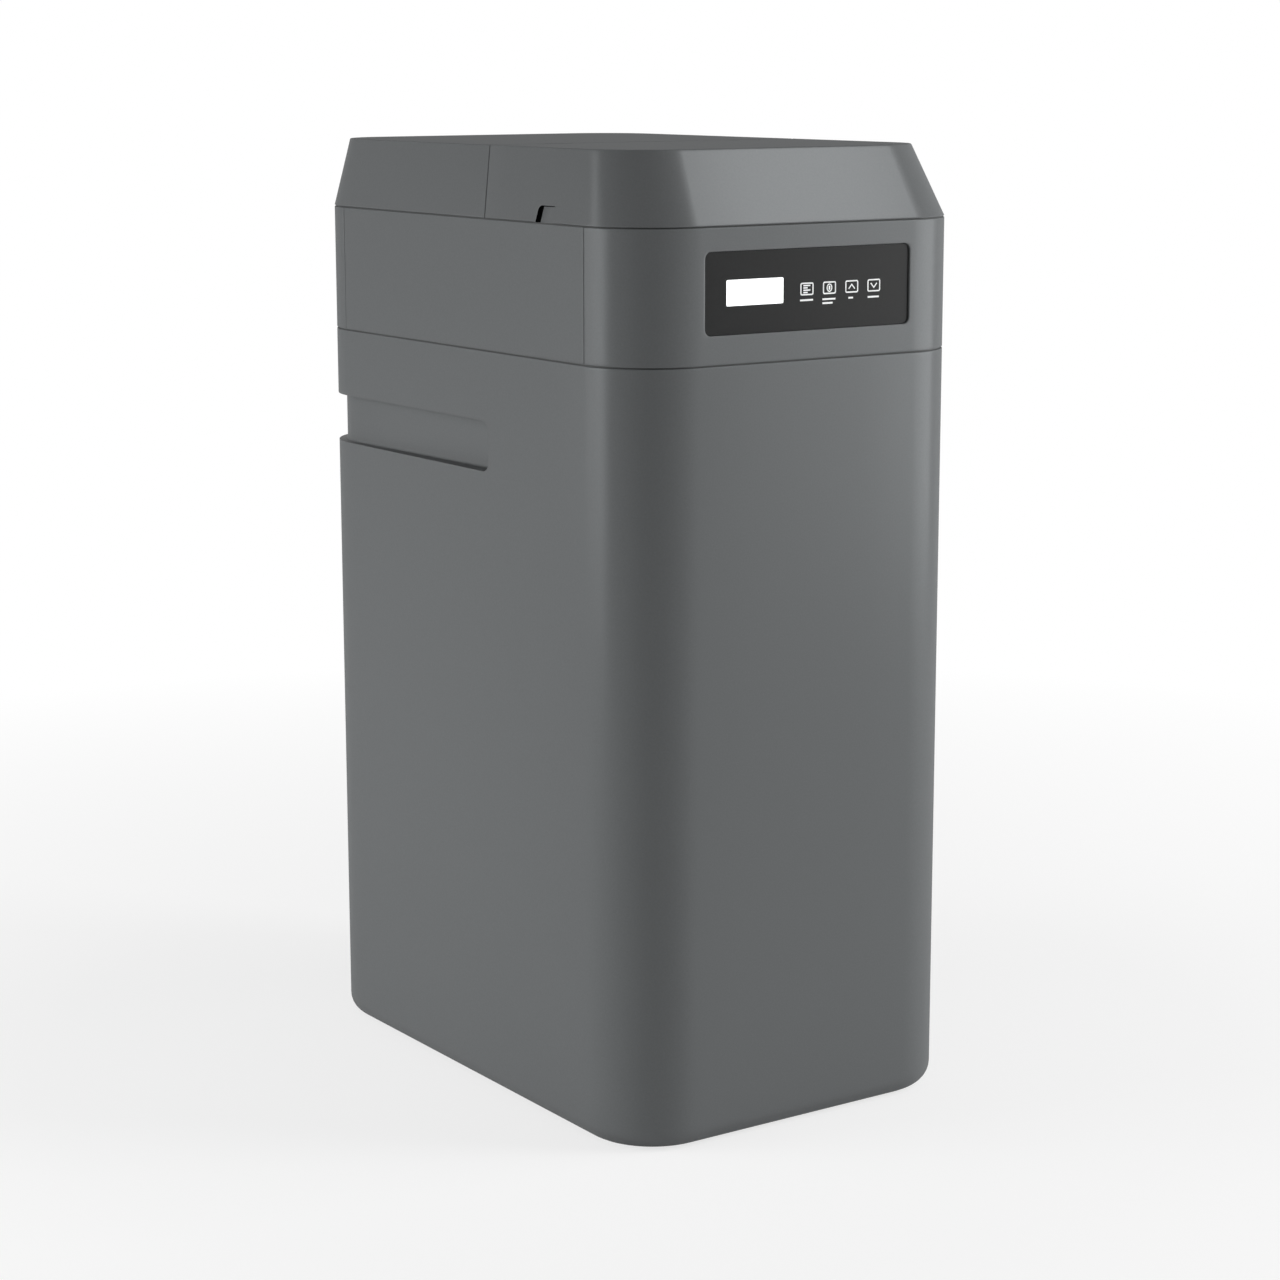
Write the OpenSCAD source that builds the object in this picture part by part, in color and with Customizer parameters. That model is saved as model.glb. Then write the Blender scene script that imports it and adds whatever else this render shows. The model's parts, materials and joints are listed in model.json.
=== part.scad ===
// Cabinet water softener: salt tub, resin tank, control valve and electronic head.
// Millimetres. Origin on the floor under the middle of the cabinet, front towards -Y, +Z up.

/* [Cabinet] */
// Width of the cabinet
cabinet_w = 320; // [300:1:360]
// Depth of the cabinet
cabinet_d = 476; // [464:1:520]
// Height of the cabinet up to the seam under the head
cabinet_h = 593; // [585:1:640]
// Radius of the upright corners
corner_r = 60; // [52:1:66]
// Radius of the bottom edge
base_r = 16; // [10:1:20]
// Thickness of the cabinet's walls
cabinet_wall = 4; // [3:0.5:5]
// Thickness of the cabinet's floor
floor_t = 4; // [3:0.5:6]
// Half width of the pipe notch in the rear wall
notch_half_w = 86; // [80:1:90]

/* [Hand grips] */
// Depth of the grips' upper edge below the cabinet's rim
grip_drop = 54; // [44:1:80]
// Height of the grips
grip_h = 39; // [32:1:46]
// Distance from the front of the cabinet to the grips
grip_start = 194.5; // [150:1:240]
// Depth of the grips at their front end
grip_front_depth = 14; // [9:0.5:16]
// Depth of the grips at the rear corner
grip_rear_depth = 7; // [6:0.5:9]
// Length of the grips along the flat of the rear wall
grip_rear_l = 4; // [2:1:8]
// Radius of the grips' front corners
grip_corner_r = 8; // [4:1:12]

/* [Head] */
// Height of the head band
band_h = 99; // [94:1:120]
// Thickness of the band's panels
band_wall = 3; // [2:0.25:3.5]
// Height of the seams above and below the band
seam = 1; // [0.8:0.1:1.6]
// Width of the upright seams between the band's panels
panel_gap = 0.4; // [0.3:0.1:0.8]
// Height of the sloped lid
lid_h = 54; // [46:1:64]
// Thickness of the lid's walls
lid_wall = 3; // [2.5:0.25:4]
// Run of the lid's front slope
lid_inset_front = 29; // [15:1:36]
// Run of the lid's side slopes
lid_inset_side = 15.4; // [10:0.2:20]
// Run of the lid's rear slope
lid_inset_rear = 8.3; // [6:0.1:16]
// Corner radius of the lid's flat top
lid_top_r = 50; // [40:1:56]
// Depth of the salt lid, from the front to the foot of the split
salt_lid_d = 196; // [190:1:202]
// How far the split leans back from its foot to the lid's top
split_lean = 16; // [0:1:20]
// Width of the split between salt lid and rear cover
split_gap = 0.8; // [0.7:0.1:1.4]
// Wall of the head frame
frame_wall = 3; // [2.5:0.25:4]
// Depth of the dark seam grooves
seam_depth = 1.5; // [1:0.1:2]
// How far the head frame reaches down into the cabinet
spigot_h = 18; // [14:1:22]

/* [Lid hinge and notch] */
// Radius of the hinge barrel
hinge_r = 4; // [3.5:0.1:5]
// Radius of the hinge pins
hinge_pin_r = 1.5; // [1.2:0.1:2]
// Distance of the hinge knuckles from the middle
hinge_x = 90; // [60:1:110]
// Length of a hinge knuckle
knuckle_l = 30; // [20:1:40]
// Distance from the front to the upright end of the finger notch
finger_start = 124; // [90:1:150]
// Length of the finger notch
finger_l = 34; // [24:1:44]
// Height of the finger notch
finger_h = 12.5; // [9:0.5:16]
// Depth of the finger notch
finger_depth = 2.2; // [1.6:0.1:2.4]

/* [Control panel] */
// Width of the control panel
panel_w = 189; // [180:1:192]
// Height of the control panel
panel_h = 60; // [54:1:62]
// Height of the panel's middle above the band's lower edge
panel_up = 51.5; // [48:0.5:54]
// Corner radius of the panel
panel_r = 5; // [3:0.5:7]
// Thickness of the panel
panel_t = 2.5; // [2:0.25:3]
// Depth of the panel behind the fascia's face
panel_sunk = 1.5; // [1:0.1:1.8]
// Width of the display window
display_w = 51.5; // [46:0.5:56]
// Height of the display window
display_h = 18.8; // [15:0.2:22]
// Place of the display's middle left of the panel's middle
display_x = -49; // [-56:0.5:-44]
// Width of a key
key_w = 12.3; // [10:0.1:14]
// Height of a key
key_h = 9.4; // [8:0.1:11]
// Place of the first key's middle
key_x = -1.5; // [-4:0.5:2]
// Distance between keys
key_pitch = 21; // [18:0.5:22]
// Travel of a key
key_travel = 0.6; // [0.3:0.1:0.7]
// Depth of the electronics housing
housing_d = 26; // [24:1:30]

/* [Resin tank] */
// Outer radius of the tank
tank_r = 128.5; // [110:0.5:132]
// Height of the tank's body without the neck
tank_body_h = 410; // [380:1:420]
// Wall of the tank
tank_wall = 4; // [3:0.25:6]
// Radius of the tank's domed ends
dome_r = 90; // [80:1:100]
// Outer radius of the tank's neck
neck_r = 46; // [42:0.5:48]
// Bore of the tank's neck
neck_bore_r = 32; // [30:0.5:34]
// Height of the tank's neck
neck_h = 25; // [22:1:30]
// Height of the resin bed above the tank's inner floor
resin_h = 250; // [200:1:290]
// Height of the tank base
boot_h = 60; // [50:1:80]
// Wall and floor of the tank base
boot_wall = 3.2; // [2.5:0.1:4]
// Clear space behind the tank base
tank_gap = 14; // [13:0.5:20]
// Outer radius of the riser tube
riser_r = 13.35; // [12:0.05:14]

/* [Control valve] */
// Height of the inlet and outlet above the tank's neck
port_up = 60; // [56:1:64]
// Half the distance between inlet and outlet
port_x = 41; // [38:0.5:44]
// Outer radius of the inlet and outlet
port_r = 20; // [18:0.5:21]
// Bore of the inlet and outlet
port_bore_r = 13; // [11:0.5:14]
// Height of the piston bore above the ports
bore_up = 56; // [54:1:60]
// Radius of the piston bore
barrel_bore_r = 21; // [20:0.5:22]
// Wall of the piston barrel
barrel_wall = 10; // [9:0.5:11]
// Radius of the piston
piston_r = 16; // [14:0.5:16.5]
// Length of the piston
piston_l = 40; // [34:1:44]
// Travel of the piston
piston_travel = 40; // [30:1:40]
// Radius of the piston rod
rod_r = 5; // [4:0.25:6]
// Height of the injector above the tank's neck
injector_up = 42; // [38:1:44]
// Radius of the injector's housing
injector_r = 17; // [15:0.5:18]

/* [Drive] */
// Gear module
gear_m = 1; // [0.95:0.01:1.05]
// Teeth of the main gear
main_teeth = 60; // [60]
// Teeth of the small gears
small_teeth = 12; // [12]
// Teeth of the reduction gear's large wheel
large_teeth = 40; // [40]
// Backlash at the pitch circle
backlash = 0.3; // [0.2:0.05:0.4]
// Width of the gears' teeth
gear_w = 6; // [4:0.5:6.5]
// Radius of the drive motor
motor_r = 17; // [14:0.5:19]
// Length of the drive motor
motor_l = 40; // [34:1:43]

/* [Bypass] */
// Distance of the bypass knobs behind the cabinet
bypass_out = 20; // [18:1:30]
// Radius of the knob's plug
plug_r = 17; // [16:0.5:18]
// Radius of the threaded pipe ends, G 1
thread_r = 16.62; // [13.2:0.01:17]
// Length of the threaded pipe ends
thread_l = 22; // [16:1:28]
// Radius of the hose tails
tail_r = 7.5; // [6:0.1:8]
// Length of the hose tails
tail_l = 24; // [18:1:30]

/* [Brine side] */
// Distance of the brine well's axis from the right side
well_side = 62; // [60:1:70]
// Distance of the brine well's axis ahead of the tank's axis
well_ahead = 216; // [206:1:224]
// Outer radius of the brine well
well_r = 45; // [40:0.5:46]
// Wall of the brine well
well_wall = 2.5; // [2:0.25:3]
// Height of the brine well
well_h = 552; // [520:1:556]
// Radius of the brine line
line_r = 4.75; // [4:0.05:5]
// Radius of the float
float_r = 30; // [26:0.5:34]
// Height of the float
float_h = 50; // [40:1:60]
// Height of the salt platform
platform_z = 56; // [46:1:70]
// Depth of the overflow below the pipe notch
overflow_drop = 37.2; // [30:0.1:60]
// Place of the overflow left of the middle
overflow_x = -78; // [-82:1:-70]

/* [Hidden] */
$fn = 48;
eps = 0.01;
// How far a cut runs past the face that it opens
over = 1;
// Clearance between pieces that pass each other, of a running fit and of a close seat
fit = 0.3;
running = 0.05;
seat = 0.02;

half_w = cabinet_w / 2;
half_d = cabinet_d / 2;
band_z = cabinet_h + seam;
band_mid = band_z + band_h / 2;
band_top = band_z + band_h;
lid_z = band_top + seam;
top_z = lid_z + lid_h;
split_y = salt_lid_d - half_d;
side_slope = atan(lid_inset_side / lid_h);

// Head frame: outer and inner inset, and the deck with its hatch over the salt and its service opening
frame_out = cabinet_wall + fit;
frame_in = frame_out + frame_wall;
deck_z = cabinet_h - spigot_h;
deck_t = 3;
hatch_side = 24;
hatch_setback = 40;
hatch_r = 20;
hatch_rim = 8.5;
service_side = 30;
service_back = 16;
service_r = 30;
service_rim = 6.5;
service_rear = half_d - service_back;
bulkhead_t = 3;
bulkhead_clear = 12.5;

// Hinge axis of the salt lid, and the tabs of the rear cover
split_angle = atan(split_lean / lid_h);
hinge_z = top_z - hinge_r;
hinge_y = split_at(hinge_z) - split_gap / 2 - hinge_r / cos(split_angle);
hinge_slack = 1;
barrel_r = hinge_r - fit;
arm_margin = 0.7;
pin_hold = 12;
tab_places = [0.2, 0.6];
tab_l = 40;
tab_drop = 12;
tab_rise = 10;
tab_t = 2.4;
notch_lip = 2;

// Grips
grip_z = cabinet_h - grip_drop - grip_h;
grip_y = grip_start - half_d;
grip_rear_x = half_w - corner_r - grip_rear_l;

// Control panel, measured along Y from its face to the circuit board
panel_z = band_z + panel_up;
panel_face = panel_sunk - half_d;
panel_back = panel_face + panel_t;
fascia_back = band_wall - half_d;
housing_back = panel_back + housing_d;
housing_wall = 2.5;
housing_inset = 0.5;
board_side = 9.5;
board_edge = 7;
board_w = panel_w - 2 * board_side;
board_h = panel_h - 2 * board_edge;
board_r = 2;
board_t = 1.6;
board_depth = 12;
board_face = panel_back + board_depth;
board_back = board_face + board_t;
standoff_r = 3;
standoff_in = 5;
display_r = 1;
lens_lip = 2;
lens_t = 1.4;
module_lip = 3;
key_r = 1.6;
key_gap = 0.2;
key_lip = 1;
key_stem_r = 2.2;
switch_w = 6;
switch_h = 3.5;
plunger_r = 1.7;
plunger_l = 1.5;
key_reach = board_face - switch_h - plunger_l - key_travel - key_gap;

// Screws of the electronics housing and of the band's panels
lug_out = 10;
lug_in = 4;
lug_post = 7;
lug_x = panel_w / 2 + lug_out;
lug_up = panel_h / 2 - lug_in;
lug_y = fascia_back + lug_post;
lug_t = 3;
lug_r = 5;
lug_root = 2;
lug_web = 6;
lug_room_w = 2;
lug_room_h = 9;
lug_room_d = 8;
screw_r = 1.85;
screw_head_r = 3.6;
screw_head_t = 2.4;
screw_skin = 1;
pilot_r = screw_r + seat;
pilot_skin = 0.8;
lug_pilot_skin = 0.5;
boss_r = 4.5;
lug_boss_r = 4;
boss_low = 9;
boss_in = 4;
boss_front_x = half_w - corner_r - boss_in;
boss_side_y = 120;
boss_rear_x = 80;

// Power socket and the cable behind it
socket_x = -60;
socket_up = 30;
socket_z = band_z + socket_up;
socket_r = 5.4;
socket_flange_r = 8;
socket_flange_t = 2;
socket_nut_t = 3;
socket_l = 14;
socket_room = 20;
jack_r = 2.75;
jack_depth = 9;
jack_pin_r = 1;
cable_r = 1.75;
cable_bend = 14;
cable_off = 12;
cable_lead = 24;
cable_in = 8;
cable_tail = 4;
cable_hole_l = 10;
cable_x = frame_in + cable_off - half_w;
cable_front = panel_back + housing_d - cable_in;
cable_rear = half_d - band_wall - socket_l - cable_lead;

// Tank and what stands in it
boot_r = tank_r + fit + boot_wall;
tank_y = half_d - cabinet_wall - tank_gap - boot_r;
tank_z = floor_t + boot_wall;
neck_z = tank_z + tank_body_h;
neck_top = neck_z + neck_h;
tank_floor = tank_z + tank_wall;
basket_r = 32;
basket_wall = 3;
basket_end = 4;
basket_h = 50;
basket_neck_h = 26;
basket_neck_t = 4;
slit_w = 2;
slit_margin = 8;
riser_wall = 1.8;
riser_seat = 2;
stub_gap = 1;
stub_h = neck_h - stub_gap;
screen_gap = 2;
screen_h = 44;

// Valve body
port_z = neck_top + port_up;
bore_z = port_z + bore_up;
injector_z = neck_top + injector_up;
flange_lip = 4;
flange_r = neck_r + flange_lip;
flange_t = 18;
column_r = 40;
barrel_out_r = barrel_bore_r + barrel_wall;
barrel_lead = 2;
barrel_tail = 72;
barrel_front = tank_y - column_r - barrel_lead;
barrel_rear = tank_y + barrel_tail;
barrel_end_t = 8;
port_l = 80;
port_depth = 8;
port_end = tank_y + port_l;
stack_r = barrel_bore_r - fit;
cap_t = 8;
cap_front = barrel_front - cap_t;
cap_spigot = 12;
stack_front = barrel_front + cap_spigot;
stack_rear = barrel_rear - barrel_end_t;
piston_lead = 6;
piston_front = stack_front + piston_lead;
waist_depth = 4;
groove_n = 4;
groove_w = 8;
groove_wall = 1.6;
groove_rib = 2;
seal_r = 2.65;
seal_ring_r = (neck_bore_r + neck_r) / 2;

// Hose tails: the drain on the valve and the overflow in the cabinet's rear wall
tail_wall = 2;
tail_root = 1;
tail_flange = 7;
tail_flange_t = 3;
tail_inside = 12;
tail_nut_t = 6;
drain_back = 30;
drain_y = tank_y + drain_back;
drain_boss_r = 12;
drain_boss_l = 21;
drain_bore_r = 8;
drain_spigot = 12;
drain_face = barrel_out_r + drain_boss_l;
drain_x = drain_face + drain_spigot;
elbow_r = 10;
elbow_l = 18;

// Injector and the elbow of the brine line
injector_l = 66;
injector_front = tank_y - injector_l;
injector_wall = 6;
injector_bore_r = injector_r - injector_wall;
injector_depth = 28;
injector_end = injector_front + injector_depth;
injector_set = 2;
injector_jet_r = 2;
injector_land = 4;
injector_waist = 4;
injector_tail = 8;
injector_cap_t = 8;
injector_cap_lip = 1;
injector_cap_skin = 4;
brine_back = 12;
brine_y = injector_front + brine_back;
brine_boss_r = 9;
brine_boss_l = 9;
brine_bore_r = 5.5;
brine_way_r = 3;
brine_spigot = 10;
brine_collar = 4;
brine_out = 16;
brine_face = injector_r + brine_boss_l;
brine_x = brine_face + brine_out;
brine_elbow_r = 7.5;
brine_elbow_l = 20;
brine_nut_wall = 3;
brine_nut_l = 8;
brine_mouth = brine_y - brine_elbow_l;
line_grip = 12;

// Gears: the main gear on the piston's axis, then the reduction gear and the pinion
addendum = 0.8 * gear_m;
dedendum = 1.15 * gear_m;
gear_play = 0.1;
mesh_angle = 40;
pinion_angle = 10;
main_to_reduction = gear_m * (main_teeth + small_teeth) / 2 + gear_play;
reduction_to_pinion = gear_m * (large_teeth + small_teeth) / 2 + gear_play;
reduction_x = main_to_reduction * cos(mesh_angle);
reduction_z = bore_z + main_to_reduction * sin(mesh_angle);
pinion_x = reduction_x + reduction_to_pinion * cos(pinion_angle);
pinion_z = reduction_z + reduction_to_pinion * sin(pinion_angle);
cap_to_gear = 6;
wheel_gap = 2;
bracket_gap = 1;
main_y = cap_front - cap_to_gear;
large_y = main_y - gear_w - wheel_gap;
bracket_t = 3;
bracket_y = large_y - gear_w - bracket_t - bracket_gap;
gear_hub_r = 8;
axle_r = 2;
shaft_r = 1.5;
shaft_room = 2;
shaft_in = 8;
motor_rim = 6;
motor_boss_r = 6;
motor_boss_l = 3;
cap_corner_r = 6;
bracket_corner_r = 8;
cap_side = 10;
cap_drive_side = 18;
cap_foot = 6;
cap_head = 9;
cap_left = barrel_out_r + cap_side;
cap_right = barrel_out_r + cap_drive_side;
cap_down = barrel_out_r + cap_foot;
cap_up = barrel_out_r + cap_head;
post_r = 4;
post_x = barrel_out_r + post_r;
post_z = barrel_out_r;
post_right_x = barrel_out_r + 3 * post_r;
bracket_right = pinion_x + motor_r + motor_rim;
bracket_up = pinion_z - bore_z + motor_r + motor_rim;
cap_screw_r = barrel_bore_r + barrel_wall / 2;
cap_screw_l = 10;
rod_lead = 2;
rod_front = bracket_y - piston_travel - rod_lead;

// Bulkhead ahead of the piston rod, with the edges of the deck's openings on either side of it
bulkhead_y = rod_front - bulkhead_clear - bulkhead_t;
hatch_w = cabinet_w - 2 * hatch_side;
hatch_front = hatch_setback - half_d;
hatch_rear = bulkhead_y - hatch_rim;
service_w = cabinet_w - 2 * service_side;
service_front = bulkhead_y + bulkhead_t + service_rim;

// Flow turbine in the outlet
cage_in = 26;
cage_y = port_end - cage_in;
cage_l = 18;
cage_r = port_bore_r - fit / 2;
cage_wall = 1;
spoke_w = 3;
spoke_t = 2;
spoke_root = 0.3;
vane_n = 6;
vane_gap = 0.6;
vane_r = cage_r - cage_wall - vane_gap;
vane_t = 1.2;
vane_l = 7;
vane_root = 1;
vane_pitch = 30;
spindle_r = 1;
turbine_hub_r = 3;

// Bypass and the notch that its pipes pass through
knob_y = half_d + bypass_out;
nut_wall = 6;
nut_r = port_r + nut_wall;
nut_l = 28;
plug_wall = 5;
plug_housing_r = plug_r + plug_wall;
plug_half_h = 26;
plug_floor = 4;
plug_way = 2;
cross_r = 16;
cross_bore_r = 11;
bypass_lead = 2;
bypass_end = knob_y + plug_housing_r + bypass_lead;
thread_end = bypass_end + thread_l;
knob_rim = 1;
knob_t = 7;
knob_grip_h = 13;
knob_grip_w = 9;
knob_grip_l = 38;
notch_clear = 15;
notch_floor = port_z - port_r - notch_clear;
overflow_z = notch_floor - overflow_drop;

// Brine side
well_x = half_w - well_side;
well_y = tank_y - well_ahead;
well_top = floor_t + well_h;
well_cap_t = 2;
well_cap_r = well_r + fit + well_cap_t;
well_cap_skirt = 10;
well_cap_end = 3;
well_slot_w = 4;
well_slot_z = 12;
well_slot_h = 26;
line_bend = 38;
line_sleeve = 0.8;
line_lap = 2;
line_lead = 24;
line_first_turn = brine_mouth - line_lead;
line_second_turn = line_first_turn - (well_x - brine_x);
pickup_r = 7;
pickup_bore_r = 5;
pickup_foot = 20;
head_r = 12;
head_half_h = 14;
line_socket_r = 8;
line_socket_l = 22;
line_end = well_y + line_socket_l - line_grip;
guide_r = 24;
guide_t = 4;
guide_up = 54;
guide_drop = 44;
guide_low = floor_t + guide_up;
guide_high = injector_z - guide_drop;
foot_r = 13;
foot_slot_w = 3;
foot_slot_z = 12;
foot_slot_h = 26;
rod_offset = 18;
rod_rise = 10;
float_rod_r = 2;
float_travel = 40;
float_up = 196;
float_z = floor_t + float_up;
platform_t = 4;
platform_back = 7;
platform_rear = tank_y - boot_r - platform_back;
platform_gap = 5;
leg_r = 10;
leg_side = 40;
leg_front = 48;
leg_back = 24;
leg_well = 25;
slot_w = 4;
slot_l = 26;
slot_side = 38;
slot_front = 30;
slot_pitch = 15;
slot_step = 36;
slot_well = 12;
slot_back = 6;

// Rounded rectangle about the middle
module rounded_rect(w, d, r) {
  square([w - 2 * r, d], center = true);
  square([w, d - 2 * r], center = true);
  for (x = [-1, 1])
    for (y = [-1, 1])
      translate([x * (w / 2 - r), y * (d / 2 - r)])
        circle(r);
}

// Plan of the cabinet, set in from its outer face
module plan(inset = 0) {
  rounded_rect(cabinet_w - 2 * inset, cabinet_d - 2 * inset, corner_r - inset);
}

// Plan of the lid's flat top
module top_plan(inset = 0) {
  w = cabinet_w - 2 * (lid_inset_side + inset);
  d = cabinet_d - lid_inset_front - lid_inset_rear - 2 * inset;
  translate([0, (lid_inset_front - lid_inset_rear) / 2])
    rounded_rect(w, d, lid_top_r - inset);
}

// Wall that follows the plan between two insets
module ring(outer, inner, z, h) {
  translate([0, 0, z])
    linear_extrude(h)
      difference() {
        plan(outer);
        plan(inner);
      }
}

// Round bar along +X or +Y
module bar_x(r, l) {
  rotate([0, 90, 0])
    cylinder(r = r, h = l);
}

module bar_y(r, l) {
  rotate([-90, 0, 0])
    cylinder(r = r, h = l);
}

// Flat outline in the XZ plane, thickened towards +Y from y
module upright(y, t) {
  translate([0, y + t, 0])
    rotate([90, 0, 0])
      linear_extrude(t)
        children();
}

// Block with rounded upright corners and a rounded bottom edge
module tub_block(w, d, h, r, edge) {
  module wall_profile() {
    square([r - edge, h]);
    translate([0, edge])
      square([r, h - edge]);
    translate([r - edge, edge])
      circle(edge);
  }
  for (turn = [0:3]) {
    across = turn % 2 == 0 ? w : d;
    along = turn % 2 == 0 ? d : w;
    rotate([0, 0, 90 * turn]) {
      translate([across / 2 - r, along / 2 - r, 0])
        rotate_extrude(angle = 90)
          wall_profile();
      translate([across / 2 - r, along / 2 - r, 0])
        rotate([90, 0, 0])
          linear_extrude(along - 2 * r)
            wall_profile();
    }
  }
  translate([r - w / 2, r - d / 2, 0])
    cube([w - 2 * r, d - 2 * r, h]);
}

// Tube in a level plane along straight runs with round bends
function heading(p, i) = atan2(p[i + 1][1] - p[i][1], p[i + 1][0] - p[i][0]);
function wrapped(a) = a > 180 ? a - 360 : a < -180 ? a + 360 : a;
function turn_at(p, i) = wrapped(heading(p, i) - heading(p, i - 1));
function setback(p, i, bend) = i == 0 || i == len(p) - 1 ? 0 : bend * tan(abs(turn_at(p, i)) / 2);
function unit(a) = [cos(a), sin(a)];

module level_tube(p, r, bend, sleeve = 0, lap = 0) {
  for (i = [0:len(p) - 2]) {
    a = heading(p, i);
    first = setback(p, i, bend) - (i > 0 ? lap : 0);
    last = setback(p, i + 1, bend) - (i < len(p) - 2 ? lap : 0);
    translate(p[i] + first * unit(a))
      rotate([0, 0, a])
        bar_x(r, norm(p[i + 1] - p[i]) - first - last);
  }
  for (i = [1:len(p) - 2]) {
    a = heading(p, i - 1);
    side = sign(turn_at(p, i));
    middle = p[i] - setback(p, i, bend) * unit(a) + side * bend * unit(a + 90);
    translate(middle)
      rotate([0, 0, side > 0 ? a - 90 : a + 90 + turn_at(p, i)])
        rotate_extrude(angle = abs(turn_at(p, i)))
          translate([bend, 0])
            circle(r + sleeve);
  }
}

// Involute gear outline with its first tooth at the angle phase
function involute(a) = tan(a) * 180 / PI - a;
function pitch_r(n) = gear_m * n / 2;
function base_circle(n) = pitch_r(n) * cos(20);
function half_tooth(n, r) = (90 - backlash / gear_m * 90 / PI) / n + involute(20)
  - involute(acos(min(1, base_circle(n) / max(r, base_circle(n)))));
function tooth_radii(n) = [for (k = [0:4])
  k == 0 ? pitch_r(n) - dedendum
       : let (low = max(base_circle(n), pitch_r(n) - dedendum + eps))
       low + (pitch_r(n) + addendum - low) * (k - 1) / 3];

module gear_outline(n, phase) {
  radii = tooth_radii(n);
  polygon([for (t = [0:n - 1])
    for (k = [0:9])
      let (r = radii[k < 5 ? k : 9 - k],
         a = phase + t * 360 / n + (k < 5 ? -1 : 1) * half_tooth(n, r))
        [r * cos(a), r * sin(a)]]);
}

// Gear on an axis along Y
module gear(n, phase, y, w) {
  upright(y, w)
    gear_outline(n, phase);
}

// Places of the screws that hold the band's panels: x, y, outward direction, height
panel_screw_places = [
  [half_w, -boss_side_y, 0, band_mid], [half_w, boss_side_y, 0, band_mid],
  [-half_w, -boss_side_y, 180, band_mid], [-half_w, boss_side_y, 180, band_mid],
  [boss_front_x, -half_d, -90, band_z + boss_low], [-boss_front_x, -half_d, -90, band_z + boss_low],
  [boss_rear_x, half_d, 90, band_mid], [-boss_rear_x, half_d, 90, band_mid]];

module at_panel_screws(picked) {
  for (i = picked)
    translate([panel_screw_places[i][0], panel_screw_places[i][1], panel_screw_places[i][3]])
      rotate([0, 0, panel_screw_places[i][2]])
        children();
}

// Places of the screws of the electronics housing
module at_housing_lugs() {
  for (x = [-1, 1])
    for (z = [-1, 1])
      translate([x * lug_x, 0, panel_z + z * lug_up])
        children();
}

// Recess of one hand grip on the +X side, grown by the wall behind it
module grip_plan(wall) {
  front = half_w - grip_front_depth - wall;
  rear = half_w - grip_rear_depth - wall;
  middle = [half_w - corner_r, half_d - corner_r];
  round_r = corner_r - grip_rear_depth - wall;
  steps = 12;
  polygon(concat(
    [[half_w + over, grip_y - wall], [front, grip_y - wall], [rear, middle[1]]],
    [for (i = [1:steps]) middle + round_r * unit(90 * i / steps)],
    [[grip_rear_x - wall, middle[1] + round_r], [grip_rear_x - wall, half_d + over],
     [half_w + over, half_d + over]]));
}

module grip_recess() {
  length = cabinet_d;
  intersection() {
    translate([0, 0, grip_z])
      linear_extrude(grip_h)
        grip_plan(0);
    translate([0, grip_y + length / 2, grip_z + grip_h / 2])
      rotate([90, 0, 90])
        linear_extrude(cabinet_w)
          rounded_rect(length, grip_h, grip_corner_r);
  }
}

// Wall behind a grip, rooted halfway into the cabinet's wall
module grip_pan() {
  translate([0, 0, grip_z - cabinet_wall])
    linear_extrude(grip_h + 2 * cabinet_wall)
      intersection() {
        grip_plan(cabinet_wall);
        plan(cabinet_wall / 2);
      }
}

module cabinet() {
  color("#6b6d6e")
    difference() {
      union() {
        difference() {
          tub_block(cabinet_w, cabinet_d, cabinet_h, corner_r, base_r);
          translate([0, 0, floor_t])
            tub_block(cabinet_w - 2 * cabinet_wall, cabinet_d - 2 * cabinet_wall,
                  cabinet_h, corner_r - cabinet_wall, base_r - cabinet_wall);
        }
        for (side = [0, 1])
          mirror([side, 0, 0])
            grip_pan();
      }
      for (side = [0, 1])
        mirror([side, 0, 0])
          grip_recess();
      translate([-notch_half_w, half_d - 2 * cabinet_wall, notch_floor])
        cube([2 * notch_half_w, 4 * cabinet_wall, cabinet_h]);
      translate([overflow_x, half_d - 2 * cabinet_wall, overflow_z])
        bar_y(tail_r + tail_root + fit, 4 * cabinet_wall);
    }
}

module head_frame() {
  color("#3a3c3d")
    difference() {
      union() {
        ring(frame_out, frame_in, deck_z, lid_z - fit - deck_z);
        ring(seam_depth, frame_in, cabinet_h, seam);
        ring(seam_depth, frame_in, band_top, seam - fit);
        translate([0, 0, deck_z])
          linear_extrude(deck_t)
            difference() {
              plan(frame_in - over);
              translate([0, (hatch_front + hatch_rear) / 2])
                rounded_rect(hatch_w, hatch_rear - hatch_front, hatch_r);
              translate([0, (service_front + service_rear) / 2])
                rounded_rect(service_w, service_rear - service_front, service_r);
              translate([well_x, well_y])
                circle(well_cap_r + fit);
            }
        translate([frame_in - over - half_w, bulkhead_y, deck_z])
          cube([cabinet_w - 2 * (frame_in - over), bulkhead_t, band_top - fit - deck_z]);
      }
      translate([-notch_half_w, service_rear - eps, deck_z - over])
        cube([2 * notch_half_w, half_d, spigot_h + over]);
      upright(-half_d, frame_in + lug_room_d)
        translate([0, panel_z])
          square([2 * (lug_x + lug_r + lug_room_w), panel_h + 2 * lug_room_h], center = true);
      translate([socket_x, half_d - socket_room, socket_z])
        bar_y(socket_flange_r + over, socket_room);
      translate([cable_x, bulkhead_y - over, socket_z])
        bar_y(cable_r + over, bulkhead_t + 2 * over);
      at_panel_screws([0:7])
        translate([-frame_in - over, 0, 0])
          bar_x(screw_r + fit, frame_wall + 2 * over);
    }
}

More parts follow.
